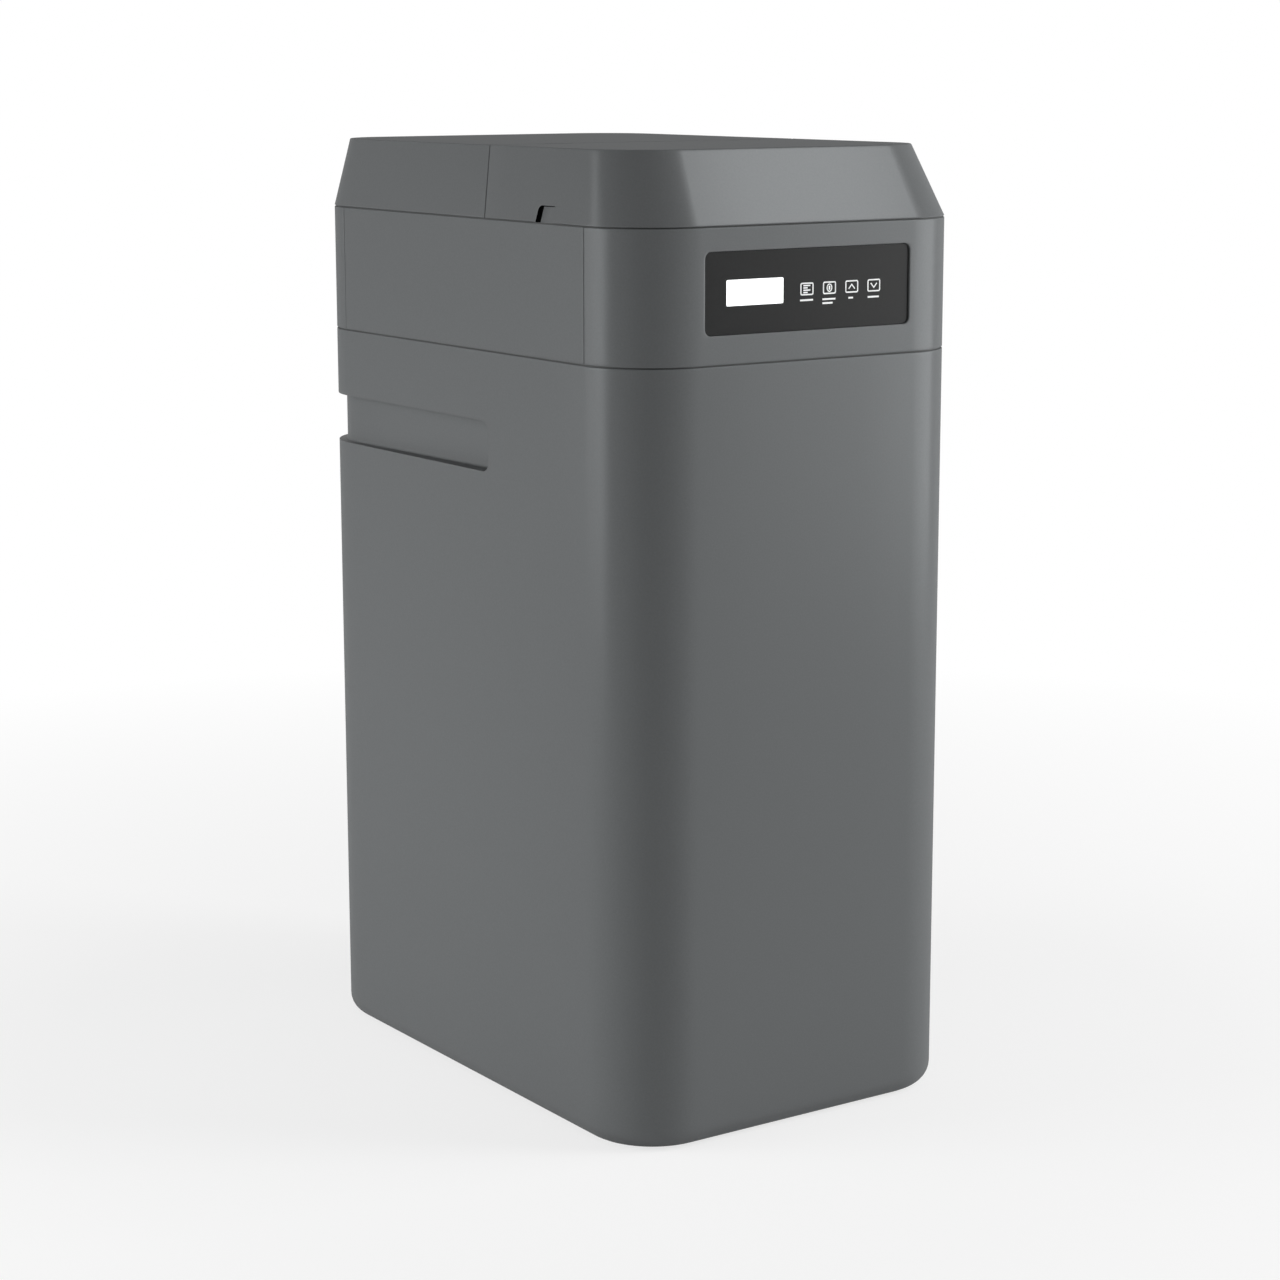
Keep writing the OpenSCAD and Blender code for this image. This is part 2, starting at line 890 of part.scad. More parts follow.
// Piece of the band between two distances along Y, with its screw bosses
module band_piece(from, to, picked) {
  difference() {
    union() {
      intersection() {
        ring(0, band_wall, band_z, band_h);
        translate([-cabinet_w, from, 0])
          cube([2 * cabinet_w, to - from, 2 * top_z]);
      }
      at_panel_screws(picked)
        translate([-frame_out, 0, 0])
          bar_x(boss_r, frame_out - band_wall / 2);
    }
    at_panel_screws(picked)
      translate([-frame_out - over, 0, 0])
        bar_x(pilot_r, frame_out + over - pilot_skin);
  }
}

band_front = corner_r - half_d;
band_rear = half_d - corner_r;

module panel_outline(grow) {
  translate([0, panel_z])
    rounded_rect(panel_w + 2 * grow, panel_h + 2 * grow, panel_r + grow);
}

module front_fascia() {
  color("#6b6d6e")
    difference() {
      union() {
        band_piece(-cabinet_d, band_front - panel_gap / 2, [4, 5]);
        at_housing_lugs()
          translate([0, fascia_back - band_wall / 2, 0])
            bar_y(lug_boss_r, lug_y - fascia_back + band_wall / 2);
      }
      upright(-cabinet_d, cabinet_d)
        panel_outline(fit);
      at_housing_lugs()
        translate([0, fascia_back + lug_pilot_skin, 0])
          bar_y(pilot_r, lug_y - fascia_back);
    }
}

module side_panel(picked) {
  intersection() {
    band_piece(band_front + panel_gap / 2, band_rear - panel_gap / 2, picked);
    translate([0, -cabinet_d, 0])
      cube([cabinet_w, 2 * cabinet_d, 2 * top_z]);
  }
}

module right_side_panel() {
  color("#6b6d6e")
    side_panel([0, 1]);
}

module left_side_panel() {
  color("#6b6d6e")
    mirror([1, 0, 0])
      side_panel([0, 1]);
}

module rear_panel() {
  color("#6b6d6e")
    difference() {
      band_piece(band_rear + panel_gap / 2, cabinet_d, [6, 7]);
      translate([socket_x, half_d - 2 * band_wall, socket_z])
        bar_y(socket_r + fit / 2, 4 * band_wall);
    }
}

module panel_screws() {
  color("#b4b6b8")
    at_panel_screws([0:7])
      translate([-frame_in, 0, 0]) {
        translate([-screw_head_t, 0, 0])
          bar_x(screw_head_r, screw_head_t);
        translate([-eps, 0, 0])
          bar_x(screw_r, frame_in - screw_skin);
      }
}

// Sloped block of the lid, set in by a wall
module lid_block(inset) {
  hull() {
    translate([0, 0, lid_z - (inset > 0 ? over : 0)])
      linear_extrude(inset > 0 ? over : eps)
        plan(inset);
    translate([0, 0, top_z - inset - eps])
      linear_extrude(eps)
        top_plan(inset);
  }
}

// Where the middle of the leaning split is at a height
function split_at(z) = split_y + split_lean * (z - lid_z) / lid_h;

// Shell of the lid on one side of the split: side -1 is the front, 1 the rear
module lid_shell(side) {
  module half(off) {
    low = lid_z - 2 * over;
    high = top_z + over;
    far = side * cabinet_d;
    translate([-cabinet_w, 0, 0])
      rotate([90, 0, 90])
        linear_extrude(2 * cabinet_w)
          polygon([[split_at(low) + side * off, low], [split_at(high) + side * off, high],
                   [far, high], [far, low]]);
  }
  difference() {
    intersection() {
      lid_block(0);
      half(split_gap / 2);
    }
    intersection() {
      lid_block(lid_wall);
      half(split_gap / 2 + lid_wall);
    }
  }
}

module hinge_bar(r, l) {
  for (side = [-1, 1])
    translate([side * hinge_x - l / 2, hinge_y, hinge_z])
      bar_x(r, l);
}

// Waste outside the barrel along the lid's top rear edge
module barrel_rounding() {
  steps = 6;
  translate([-cabinet_w, hinge_y, hinge_z])
    rotate([90, 0, 90])
      linear_extrude(2 * cabinet_w)
        polygon(concat(
          [for (i = [0:steps]) hinge_r * unit(90 - (90 + split_angle) * i / steps)],
          [(hinge_r + over) * unit(-split_angle),
           (hinge_r + over) * unit(-split_angle) + 3 * hinge_r * unit(90 - split_angle),
           [0, 3 * hinge_r]]));
}

// Ramp that runs out towards the front, square to the lid's side slope, with a slit at its deep end
module finger_notch() {
  translate([half_w, finger_start - half_d, lid_z])
    rotate([0, -side_slope, 0]) {
      translate([0, 0, -finger_h / 2])
        linear_extrude(1.5 * finger_h)
          polygon([[over, 0], [-finger_depth, 0], [0, -finger_l], [over, -finger_l]]);
      translate([-2 * lid_wall, -finger_depth, -finger_h / 2])
        cube([2 * lid_wall + over, finger_depth, 1.5 * finger_h - notch_lip]);
    }
}

module salt_lid() {
  inner = half_w - lid_inset_side - lid_wall + over;
  reach = hinge_r + hinge_slack;
  color("#6b6d6e")
    difference() {
      union() {
        lid_shell(-1);
        translate([-inner, hinge_y, hinge_z])
          bar_x(barrel_r, 2 * inner);
      }
      barrel_rounding();
      for (side = [-1, 1])
        translate([side * hinge_x - knuckle_l / 2 - fit, hinge_y - reach, hinge_z - reach])
          cube([knuckle_l + 2 * fit, 3 * reach, 3 * reach]);
      hinge_bar(hinge_pin_r + running, knuckle_l + 2 * pin_hold + fit);
      for (side = [0, 1])
        mirror([side, 0, 0])
          finger_notch();
    }
}

module hinge_pins() {
  color("#b4b6b8")
    hinge_bar(hinge_pin_r, knuckle_l + 2 * pin_hold);
}

module rear_cover() {
  arm_h = 2 * (barrel_r - arm_margin);
  arm_l = split_at(hinge_z) + (split_gap + lid_wall) / 2 - hinge_y;
  color("#6b6d6e")
    difference() {
      union() {
        lid_shell(1);
        hinge_bar(barrel_r, knuckle_l);
        for (side = [-1, 1])
          translate([side * hinge_x - knuckle_l / 2, hinge_y, hinge_z - arm_h / 2])
            cube([knuckle_l, arm_l, arm_h]);
        for (side = [0, 1])
          mirror([side, 0, 0])
            for (share = tab_places)
              translate([0, split_y + share * (half_d - split_y), 0])
                locating_tab();
      }
      hinge_bar(hinge_pin_r + running, knuckle_l + 2 * pin_hold);
    }
}

// Tab that drops inside the head frame and locates the rear cover
module locating_tab() {
  outer = half_w - frame_in - fit;
  translate([outer - tab_t, 0, lid_z - tab_drop])
    cube([tab_t, tab_l, tab_drop + tab_rise]);
  translate([outer - tab_t, 0, lid_z + over])
    cube([half_w - lid_wall - outer + tab_t, tab_l, tab_rise - over]);
}

// Straight hose tail with a flange against the cabinet's outer face
module overflow_fitting() {
  inner_end = cabinet_wall + tail_inside;
  color("#2c2d2e")
    translate([overflow_x, half_d, overflow_z])
      difference() {
        union() {
          translate([0, -inner_end, 0])
            bar_y(tail_r + tail_root, inner_end + eps);
          bar_y(tail_r + tail_flange, tail_flange_t);
          bar_y(tail_r, tail_flange_t + tail_l);
        }
        translate([0, -inner_end - over, 0])
          bar_y(tail_r - tail_wall, inner_end + tail_flange_t + tail_l + 2 * over);
      }
}

module overflow_nut() {
  color("#2c2d2e")
    translate([overflow_x, half_d - cabinet_wall - tail_nut_t, overflow_z])
      difference() {
        rotate([-90, 0, 0])
          cylinder(r = tail_r + tail_flange, h = tail_nut_t, $fn = 6);
        translate([0, -over, 0])
          bar_y(tail_r + tail_root + seat, tail_nut_t + 2 * over);
      }
}

// Display opening and key openings in the panel, grown by a clearance
module display_outline(grow) {
  translate([display_x, panel_z])
    rounded_rect(display_w + 2 * grow, display_h + 2 * grow, display_r);
}

module key_outline(i, grow) {
  translate([key_x + i * key_pitch, panel_z])
    rounded_rect(key_w + 2 * grow, key_h + 2 * grow, key_r);
}

module control_panel() {
  color("#1b1b1c")
    difference() {
      upright(panel_face, panel_t)
        panel_outline(0);
      upright(panel_face - over, panel_t + 2 * over)
        display_outline(fit / 2);
      for (i = [0:3])
        upright(panel_face - over, panel_t + 2 * over)
          key_outline(i, key_gap);
    }
}

module display_window() {
  color("white") {
    upright(panel_face, panel_t + eps)
      display_outline(0);
    upright(panel_back, lens_t)
      display_outline(lens_lip);
  }
}

module display_module() {
  color("#dfe4e0")
    upright(panel_back + lens_t, board_face - panel_back - lens_t)
      display_outline(module_lip);
}

module panel_key(i) {
  lip_face = panel_back + fit;
  color("#1b1b1c") {
    upright(panel_face, lip_face - panel_face + eps)
      key_outline(i, 0);
    upright(lip_face, key_lip)
      key_outline(i, key_lip);
    translate([key_x + i * key_pitch, lip_face, panel_z])
      bar_y(key_stem_r, key_reach - lip_face);
  }
}

module key_menu() {
  panel_key(0);
}

module key_regenerate() {
  panel_key(1);
}

module key_up() {
  panel_key(2);
}

module key_down() {
  panel_key(3);
}

module circuit_board() {
  color("#1f5a38")
    upright(board_face, board_t)
      translate([0, panel_z])
        rounded_rect(board_w, board_h, board_r);
}

module key_switches() {
  color("#2c2d2e")
    for (i = [0:3])
      translate([key_x + i * key_pitch, 0, panel_z]) {
        upright(board_face - switch_h, switch_h)
          square(switch_w, center = true);
        translate([0, board_face - switch_h - plunger_l, 0])
          bar_y(plunger_r, plunger_l + eps);
      }
}

module electronics_housing() {
  color("#3a3c3d")
    difference() {
      union() {
        difference() {
          upright(panel_back, housing_d)
            panel_outline(-housing_inset);
          upright(panel_back - over, housing_d - housing_wall + over)
            panel_outline(-housing_inset - housing_wall);
        }
        for (x = [-1, 1])
          for (z = [-1, 1])
            translate([x * (board_w / 2 - standoff_in), board_back,
                   panel_z + z * (board_h / 2 - standoff_in)])
              bar_y(standoff_r, housing_back - housing_wall / 2 - board_back);
        at_housing_lugs()
          translate([0, lug_y, 0])
            bar_y(lug_r, lug_t);
        for (x = [-1, 1])
          for (z = [-1, 1])
            translate([x > 0 ? panel_w / 2 - lug_root : -lug_x, lug_y,
                   panel_z + z * lug_up - lug_web / 2])
              cube([lug_out + lug_root, lug_t, lug_web]);
      }
      at_housing_lugs()
        translate([0, lug_y - over, 0])
          bar_y(screw_r + fit, lug_t + 2 * over);
      translate([-panel_w / 2 - over, cable_front, socket_z])
        bar_x(cable_r + fit, cable_hole_l);
    }
}

module housing_screws() {
  color("#b4b6b8")
    at_housing_lugs() {
      translate([0, lug_y + lug_t, 0])
        bar_y(screw_head_r, screw_head_t);
      translate([0, fascia_back + screw_skin, 0])
        bar_y(screw_r, lug_y + lug_t - fascia_back - screw_skin + eps);
    }
}

// Low-voltage socket with its nut, its mouth in the rear panel's face
module power_socket() {
  color("#2c2d2e")
    translate([socket_x, half_d, socket_z]) {
      difference() {
        union() {
          bar_y(socket_flange_r, socket_flange_t);
          translate([0, -band_wall - socket_l, 0])
            bar_y(socket_r, band_wall + socket_l + eps);
          translate([0, -band_wall - socket_nut_t, 0])
            bar_y(socket_flange_r, socket_nut_t);
        }
        translate([0, -jack_depth, 0])
          bar_y(jack_r, jack_depth + socket_flange_t + over);
      }
      translate([0, -jack_depth - over, 0])
        bar_y(jack_pin_r, jack_depth + 2 * over);
    }
}

module supply_cable() {
  socket_end = half_d - band_wall - socket_l;
  color("#1b1b1c")
    translate([0, 0, socket_z])
      level_tube([[socket_x, socket_end], [socket_x, cable_rear], [cable_x, cable_rear],
            [cable_x, cable_front], [cable_tail - panel_w / 2, cable_front]],
             cable_r, cable_bend);
}

// Half outline of a vessel with domed ends
module vessel_half(r, h, dome) {
  intersection() {
    union() {
      square([r - dome, h]);
      translate([0, dome])
        square([r, h - 2 * dome]);
      for (y = [dome, h - dome])
        translate([r - dome, y])
          circle(dome);
    }
    square([r + 1, h]);
  }
}

module at_tank(z) {
  translate([0, tank_y, z])
    children();
}

module resin_tank() {
  color("#23415f")
    at_tank(tank_z)
      rotate_extrude()
        difference() {
          union() {
            vessel_half(tank_r, tank_body_h, dome_r);
            translate([0, tank_body_h - 2 * tank_wall])
              square([neck_r, neck_h + 2 * tank_wall]);
          }
          translate([0, tank_wall])
            vessel_half(tank_r - tank_wall, tank_body_h - 2 * tank_wall, dome_r - tank_wall);
          translate([0, tank_body_h / 2])
            square([neck_bore_r, tank_body_h]);
        }
}

module tank_base() {
  color("#1b1b1c")
    at_tank(floor_t)
      difference() {
        cylinder(r = boot_r, h = boot_h);
        translate([0, 0, boot_wall])
          cylinder(r = tank_r + fit, h = boot_h);
      }
}

module resin_bed() {
  r = tank_r - tank_wall - fit;
  color("#c9862f")
    at_tank(tank_floor + fit)
      rotate_extrude()
        difference() {
          intersection() {
            vessel_half(r, tank_body_h - 2 * tank_wall - 2 * fit, dome_r - tank_wall);
            square([tank_r, resin_h]);
          }
          square([basket_r + fit, basket_h]);
          square([riser_r + basket_neck_t + fit, basket_h + basket_neck_h]);
          square([riser_r + fit, tank_body_h]);
        }
}

module riser_tube() {
  bottom = tank_floor + basket_h - riser_seat;
  top = neck_top + flange_t - riser_seat;
  color("#e6e6e2")
    at_tank(bottom)
      difference() {
        cylinder(r = riser_r, h = top - bottom);
        translate([0, 0, -over])
          cylinder(r = riser_r - riser_wall, h = top - bottom + 2 * over);
      }
}

// Slits through a basket's wall
module basket_slits(r, h) {
  for (a = [0:30:150])
    rotate([0, 0, a])
      translate([-r - over, -slit_w / 2, slit_margin])
        cube([2 * (r + over), slit_w, h - 2 * slit_margin]);
}

// Slotted basket that stands on the tank's floor and holds the riser
module bottom_distributor() {
  color("#e6e6e2")
    at_tank(tank_floor)
      difference() {
        union() {
          cylinder(r = basket_r, h = basket_h);
          cylinder(r = riser_r + basket_neck_t, h = basket_h + basket_neck_h - over);
        }
        translate([0, 0, basket_end])
          cylinder(r = basket_r - basket_wall, h = basket_h - 2 * basket_end);
        translate([0, 0, basket_h - basket_end - over])
          cylinder(r = riser_r - riser_wall, h = 2 * basket_end);
        translate([0, 0, basket_h - riser_seat])
          cylinder(r = riser_r + seat, h = basket_neck_h + basket_h);
        basket_slits(basket_r, basket_h);
      }
}

// Slotted basket under the valve, round the riser
module top_screen() {
  r = neck_bore_r - screen_gap;
  top = neck_top - stub_h;
  color("#e6e6e2")
    at_tank(top - screen_h)
      difference() {
        cylinder(r = r, h = screen_h);
        translate([0, 0, basket_wall])
          cylinder(r = r - basket_wall, h = screen_h - 2 * basket_wall);
        translate([0, 0, -over])
          cylinder(r = riser_r + seat, h = screen_h + 2 * over);
        basket_slits(r, screen_h);
      }
}

module neck_seal() {
  color("#111111")
    at_tank(neck_top + seal_r + running)
      rotate_extrude()
        translate([seal_ring_r, 0])
          circle(seal_r);
}

// Bar along Y on the valve's middle plane or beside it
module valve_bar(x, z, r, from, to) {
  translate([x, from, z])
    bar_y(r, to - from);
}

module valve_body() {
  color("#1f2021")
    difference() {
      union() {
        at_tank(neck_top - stub_h)
          cylinder(r = neck_bore_r - fit, h = stub_h + eps);
        at_tank(neck_top)
          cylinder(r = flange_r, h = flange_t);
        at_tank(neck_top)
          cylinder(r = column_r, h = bore_z - neck_top - barrel_bore_r);
        for (x = [-port_x, port_x])
          valve_bar(x, port_z, port_r, tank_y, port_end);
        valve_bar(0, bore_z, barrel_out_r, barrel_front, barrel_rear);
        valve_bar(0, injector_z, injector_r, injector_front, tank_y);
        translate([-drain_face, drain_y, bore_z])
          bar_x(drain_boss_r, drain_face);
        translate([0, brine_y, injector_z])
          bar_x(brine_boss_r, brine_face);
      }
      at_tank(neck_top - stub_h - over)
        cylinder(r = riser_r + seat, h = stub_h + over + flange_t - riser_seat);
      at_tank(neck_top)
        cylinder(r = riser_r - riser_wall, h = bore_z - neck_top);
      at_tank(neck_top)
        rotate_extrude()
          translate([seal_ring_r - seal_r - running, -over])
            square([2 * (seal_r + running), 2 * (seal_r + running) + over]);
      for (x = [-port_x, port_x])
        valve_bar(x, port_z, port_bore_r, tank_y - port_depth, port_end + over);
      valve_bar(0, bore_z, barrel_bore_r, barrel_front - over, barrel_rear - barrel_end_t);
      valve_bar(0, injector_z, injector_bore_r, injector_front - over, injector_end);
      translate([-drain_face - over, drain_y, bore_z])
        bar_x(drain_bore_r, drain_face + over);
      translate([0, brine_y, injector_z])
        bar_x(brine_bore_r, brine_face + over);
      at_cap_screws()
        translate([0, barrel_front - over, 0])
          bar_y(pilot_r, cap_screw_l + 2 * over);
    }
}

module at_cap_screws() {
  for (a = [45:90:315])
    translate([cap_screw_r * cos(a), 0, bore_z + cap_screw_r * sin(a)])
      children();
}

// Sleeve with seal grooves and ports in which the piston slides
module seal_stack() {
  length = stack_rear - stack_front;
  color("#d9d9d4")
    translate([0, stack_front, bore_z])
      difference() {
        bar_y(stack_r, length);
        translate([0, -over, 0])
          bar_y(piston_r + running, length + 2 * over);
        for (i = [1:groove_n])
          translate([0, length * i / (groove_n + 1) - groove_w / 2, 0])
            difference() {
              bar_y(stack_r - groove_wall, groove_w);
              for (a = [0:45:315])
                rotate([0, a, 0])
                  translate([-groove_rib / 2, -over, 0])
                    cube([groove_rib, groove_w + 2 * over, stack_r]);
            }
      }
}

module piston() {
  color("#8f9396")
    translate([0, piston_front, bore_z])
      difference() {
        union() {
          bar_y(piston_r, piston_l);
          translate([0, rod_front - piston_front, 0])
            bar_y(rod_r, piston_front - rod_front + eps);
        }
        translate([0, piston_l / 4, 0])
          difference() {
            bar_y(piston_r + over, piston_l / 2);
            bar_y(piston_r - waist_depth, piston_l / 2);
          }
      }
}

// Plate that closes the barrel and carries the gears' far ends
module drive_cap() {
  color("#1f2021")
    difference() {
      union() {
        upright(cap_front, cap_t)
          translate([(cap_right - cap_left) / 2, bore_z + (cap_up - cap_down) / 2])
            rounded_rect(cap_left + cap_right, cap_up + cap_down, cap_corner_r);
        valve_bar(0, bore_z, stack_r, cap_front + cap_t / 2, stack_front);
      }
      valve_bar(0, bore_z, rod_r + running, cap_front - over, stack_front + over);
      valve_bar(reduction_x, reduction_z, axle_r + seat, cap_front - over, cap_front + cap_t / 2);
      at_cap_screws()
        translate([0, cap_front - over, 0])
          bar_y(screw_r + fit, cap_t + 2 * over);
    }
}

module drive_cap_screws() {
  color("#b4b6b8")
    at_cap_screws() {
      translate([0, cap_front - screw_head_t, 0])
        bar_y(screw_head_r, screw_head_t);
      translate([0, cap_front - eps, 0])
        bar_y(screw_r, cap_t + cap_screw_l);
    }
}

module main_gear() {
  color("#e9e7df")
    difference() {
      union() {
        translate([0, 0, bore_z])
          gear(main_teeth, mesh_angle, main_y - gear_w, gear_w);
        valve_bar(0, bore_z, gear_hub_r, bracket_y, cap_front - fit);
      }
      valve_bar(0, bore_z, rod_r + running, bracket_y - over, cap_front);
    }
}

module reduction_gear() {
  color("#e9e7df")
    translate([reduction_x, 0, reduction_z])
      difference() {
        union() {
          gear(large_teeth, pinion_angle, large_y - gear_w, gear_w);
          gear(small_teeth, mesh_angle + 180 + 180 / small_teeth, large_y - eps, main_y - large_y);
        }
        translate([0, bracket_y, 0])
          bar_y(axle_r + running, main_y - bracket_y + over);
      }
}

module reduction_axle() {
  color("#b4b6b8")
    valve_bar(reduction_x, reduction_z, axle_r, bracket_y, cap_front + cap_t / 2);
}

module motor_pinion() {
  color("#c8a24a")
    translate([pinion_x, 0, pinion_z]) {
      gear(small_teeth, pinion_angle + 180 + 180 / small_teeth, large_y - gear_w, gear_w);
      translate([0, bracket_y - shaft_in, 0])
        bar_y(shaft_r, large_y - bracket_y + shaft_in);
    }
}

module drive_motor() {
  motor_front = bracket_y - motor_l;
  color("#9a9da0")
    difference() {
      union() {
        valve_bar(pinion_x, pinion_z, motor_r, motor_front, bracket_y);
        valve_bar(pinion_x, pinion_z, motor_boss_r, motor_front - motor_boss_l, motor_front + over);
      }
      valve_bar(pinion_x, pinion_z, shaft_r + running, bracket_y - shaft_in - over, bracket_y + over);
    }
}

// Plate with the gears' near bearings, on three posts
module drive_bracket() {
  color("#3a3c3d")
    difference() {
      union() {
        upright(bracket_y, bracket_t)
          translate([(bracket_right - cap_left) / 2, bore_z + (bracket_up - cap_down) / 2])
            rounded_rect(bracket_right + cap_left, bracket_up + cap_down, bracket_corner_r);
        valve_bar(-post_x, bore_z - post_z, post_r, bracket_y + eps, cap_front);
        valve_bar(-post_x, bore_z + post_z, post_r, bracket_y + eps, cap_front);
        valve_bar(post_right_x, bore_z - post_z, post_r, bracket_y + eps, cap_front);
      }
      for (hole = [[0, bore_z, gear_hub_r + running], [reduction_x, reduction_z, axle_r + seat],
             [pinion_x, pinion_z, shaft_r + shaft_room]])
        valve_bar(hole[0], hole[1], hole[2], bracket_y - over, bracket_y + bracket_t + over);
    }
}

module injector() {
  length = injector_depth - injector_set;
  waist_l = length - injector_land - injector_tail;
  color("#e6e6e2")
    translate([0, injector_front + injector_set, injector_z])
      difference() {
        bar_y(injector_bore_r - fit, length);
        translate([0, -over, 0])
          bar_y(injector_jet_r, length + 2 * over);
        translate([0, injector_land, 0])
          difference() {
            bar_y(injector_bore_r, waist_l);
            bar_y(injector_bore_r - injector_waist, waist_l);
          }
      }
}

module injector_cap() {
  hollow_r = injector_bore_r - injector_waist;
  inner_end = injector_front + injector_set;
  color("#1f2021")
    difference() {
      union() {
        translate([0, injector_front - injector_cap_t, injector_z])
          rotate([-90, 0, 0])
            cylinder(r = injector_r + injector_cap_lip, h = injector_cap_t, $fn = 8);
        valve_bar(0, injector_z, injector_bore_r - fit, injector_front - over, inner_end);
      }
      valve_bar(0, injector_z, hollow_r, injector_front - injector_cap_skin, inner_end + over);
    }
}

// Ring with a spider at each end that carries the turbine's spindle
module turbine_cage() {
  color("#d9d9d4")
    translate([-port_x, cage_y, port_z])
      difference() {
        union() {
          difference() {
            bar_y(cage_r, cage_l);
            translate([0, -over, 0])
              bar_y(cage_r - cage_wall, cage_l + 2 * over);
          }
          for (y = [0, cage_l - spoke_t])
            for (a = [0, 60, 120])
              rotate([0, a, 0])
                translate([spoke_root - cage_r, y, -spoke_w / 2])
                  cube([2 * (cage_r - spoke_root), spoke_t, spoke_w]);
        }
        translate([0, -over, 0])
          bar_y(spindle_r + running, cage_l + 2 * over);
      }
}

module flow_turbine() {
  hub_l = cage_l - 2 * spoke_t - 2 * fit;
  color("#3f7fb5")
    translate([-port_x, cage_y, port_z]) {
      bar_y(spindle_r, cage_l);
      translate([0, spoke_t + fit, 0])
        bar_y(turbine_hub_r, hub_l);
      for (a = [0:360 / vane_n:359])
        rotate([0, a, 0])
          translate([0, cage_l / 2, 0])
            rotate([0, 0, vane_pitch])
              translate([-vane_t / 2, -vane_l / 2, turbine_hub_r - vane_root])
                cube([vane_t, vane_l, vane_r - turbine_hub_r + vane_root]);
    }
}

// Elbow from the valve's side to a straight hose tail that points to the rear
module drain_elbow() {
  color("#2c2d2e")
    translate([0, drain_y, bore_z])
      difference() {
        union() {
          translate([-drain_face - eps, 0, 0])
            bar_x(drain_bore_r - fit, drain_spigot);
          translate([-drain_x, 0, 0]) {
            bar_x(elbow_r, drain_x - drain_face);
            sphere(elbow_r);
            bar_y(elbow_r, elbow_l);
            bar_y(tail_r, elbow_l + tail_l);
          }
        }
        translate([-drain_x, 0, 0]) {
          bar_x(tail_r - tail_wall, drain_x);
          bar_y(tail_r - tail_wall, elbow_l + tail_l + over);
        }
      }
}

// Elbow from the injector to the brine line, which leaves to the front
module brine_elbow() {
  color("#d9d9d4")
    translate([0, brine_y, injector_z])
      difference() {
        union() {
          translate([brine_face - brine_spigot, 0, 0])
            bar_x(brine_bore_r - fit, brine_spigot + eps);
          translate([brine_face, 0, 0]) {
            bar_x(brine_boss_r, brine_collar);
            bar_x(brine_elbow_r, brine_out);
          }
          translate([brine_x, 0, 0])
            sphere(brine_elbow_r);
          translate([brine_x, -brine_elbow_l, 0]) {
            bar_y(brine_elbow_r, brine_elbow_l);
            rotate([-90, 0, 0])
              cylinder(r = brine_elbow_r + brine_nut_wall, h = brine_nut_l, $fn = 6);
          }
        }
        translate([brine_face - brine_spigot - over, 0, 0])
          bar_x(brine_way_r, brine_out + brine_spigot + over);
        translate([brine_x, -brine_elbow_l - over, 0]) {
          bar_y(line_r + running, line_grip + over);
          bar_y(brine_way_r, brine_elbow_l + over);
        }
      }
}

module brine_line() {
  color("#efefe9")
    translate([0, 0, injector_z])
      level_tube([[brine_x, brine_mouth + line_grip], [brine_x, line_first_turn],
            [well_x, line_second_turn], [well_x, line_end]],
             line_r, line_bend, line_sleeve, line_lap);
}

// Two straight pipes with plug housings, joined by a cross pipe
module bypass_body() {
  start = port_end + fit;
  color("#1f2021")
    difference() {
      union() {
        for (x = [-port_x, port_x]) {
          valve_bar(x, port_z, port_r, start, bypass_end);
          valve_bar(x, port_z, thread_r, bypass_end - over, thread_end);
          translate([x, knob_y, port_z - plug_half_h])
            cylinder(r = plug_housing_r, h = 2 * plug_half_h);
        }
        translate([-port_x, knob_y, port_z])
          bar_x(cross_r, 2 * port_x);
      }
      for (x = [-port_x, port_x]) {
        valve_bar(x, port_z, port_bore_r, start - over, thread_end + over);
        translate([x, knob_y, port_z - plug_half_h + plug_floor])
          cylinder(r = plug_r, h = 2 * plug_half_h);
      }
      translate([-port_x, knob_y, port_z])
        bar_x(cross_bore_r, 2 * port_x);
    }
}

module union_nuts() {
  color("#2c2d2e")
    for (x = [-port_x, port_x])
      translate([x, port_end - nut_l / 2, port_z])
        difference() {
          rotate([-90, 0, 0])
            cylinder(r = nut_r, h = nut_l, $fn = 12);
          translate([0, -over, 0])
            bar_y(port_r + fit, nut_l + 2 * over);
        }
}

// Plug with its passages and a grip bar on top
module bypass_knob(x) {
  bottom = plug_floor - plug_half_h + fit;
  top = plug_half_h + fit;
  color("#a8201f")
    translate([x, knob_y, port_z])
      difference() {
        union() {
          translate([0, 0, bottom])
            cylinder(r = plug_r - running, h = top - bottom + eps);
          translate([0, 0, top])
            cylinder(r = plug_housing_r - knob_rim, h = knob_t);
          translate([-knob_grip_w / 2, -knob_grip_l / 2, top + knob_t - eps])
            cube([knob_grip_w, knob_grip_l, knob_grip_h]);
        }
        translate([0, -plug_r - over, 0])
          bar_y(port_bore_r - plug_way, 2 * (plug_r + over));
      }
}

module inlet_knob() {
  bypass_knob(port_x);
}

module outlet_knob() {
  bypass_knob(-port_x);
}

module at_well(z) {
  translate([well_x, well_y, z])
    children();
}

module brine_well() {
  color("#e6e6e2")
    at_well(floor_t)
      difference() {
        cylinder(r = well_r, h = well_h);
        translate([0, 0, -over])
          cylinder(r = well_r - well_wall, h = well_h + 2 * over);
        for (a = [15:30:165])
          rotate([0, 0, a])
            translate([-well_r - over, -well_slot_w / 2, well_slot_z])
              cube([2 * (well_r + over), well_slot_w, well_slot_h]);
        translate([0, 0, injector_z - floor_t])
          bar_y(line_r + fit, well_r + over);
      }
}

module well_cap() {
  color("#2c2d2e")
    at_well(well_top - well_cap_skirt)
      difference() {
        cylinder(r = well_cap_r, h = well_cap_skirt + well_cap_end);
        translate([0, 0, -over])
          cylinder(r = well_r + fit, h = well_cap_skirt + over);
      }
}

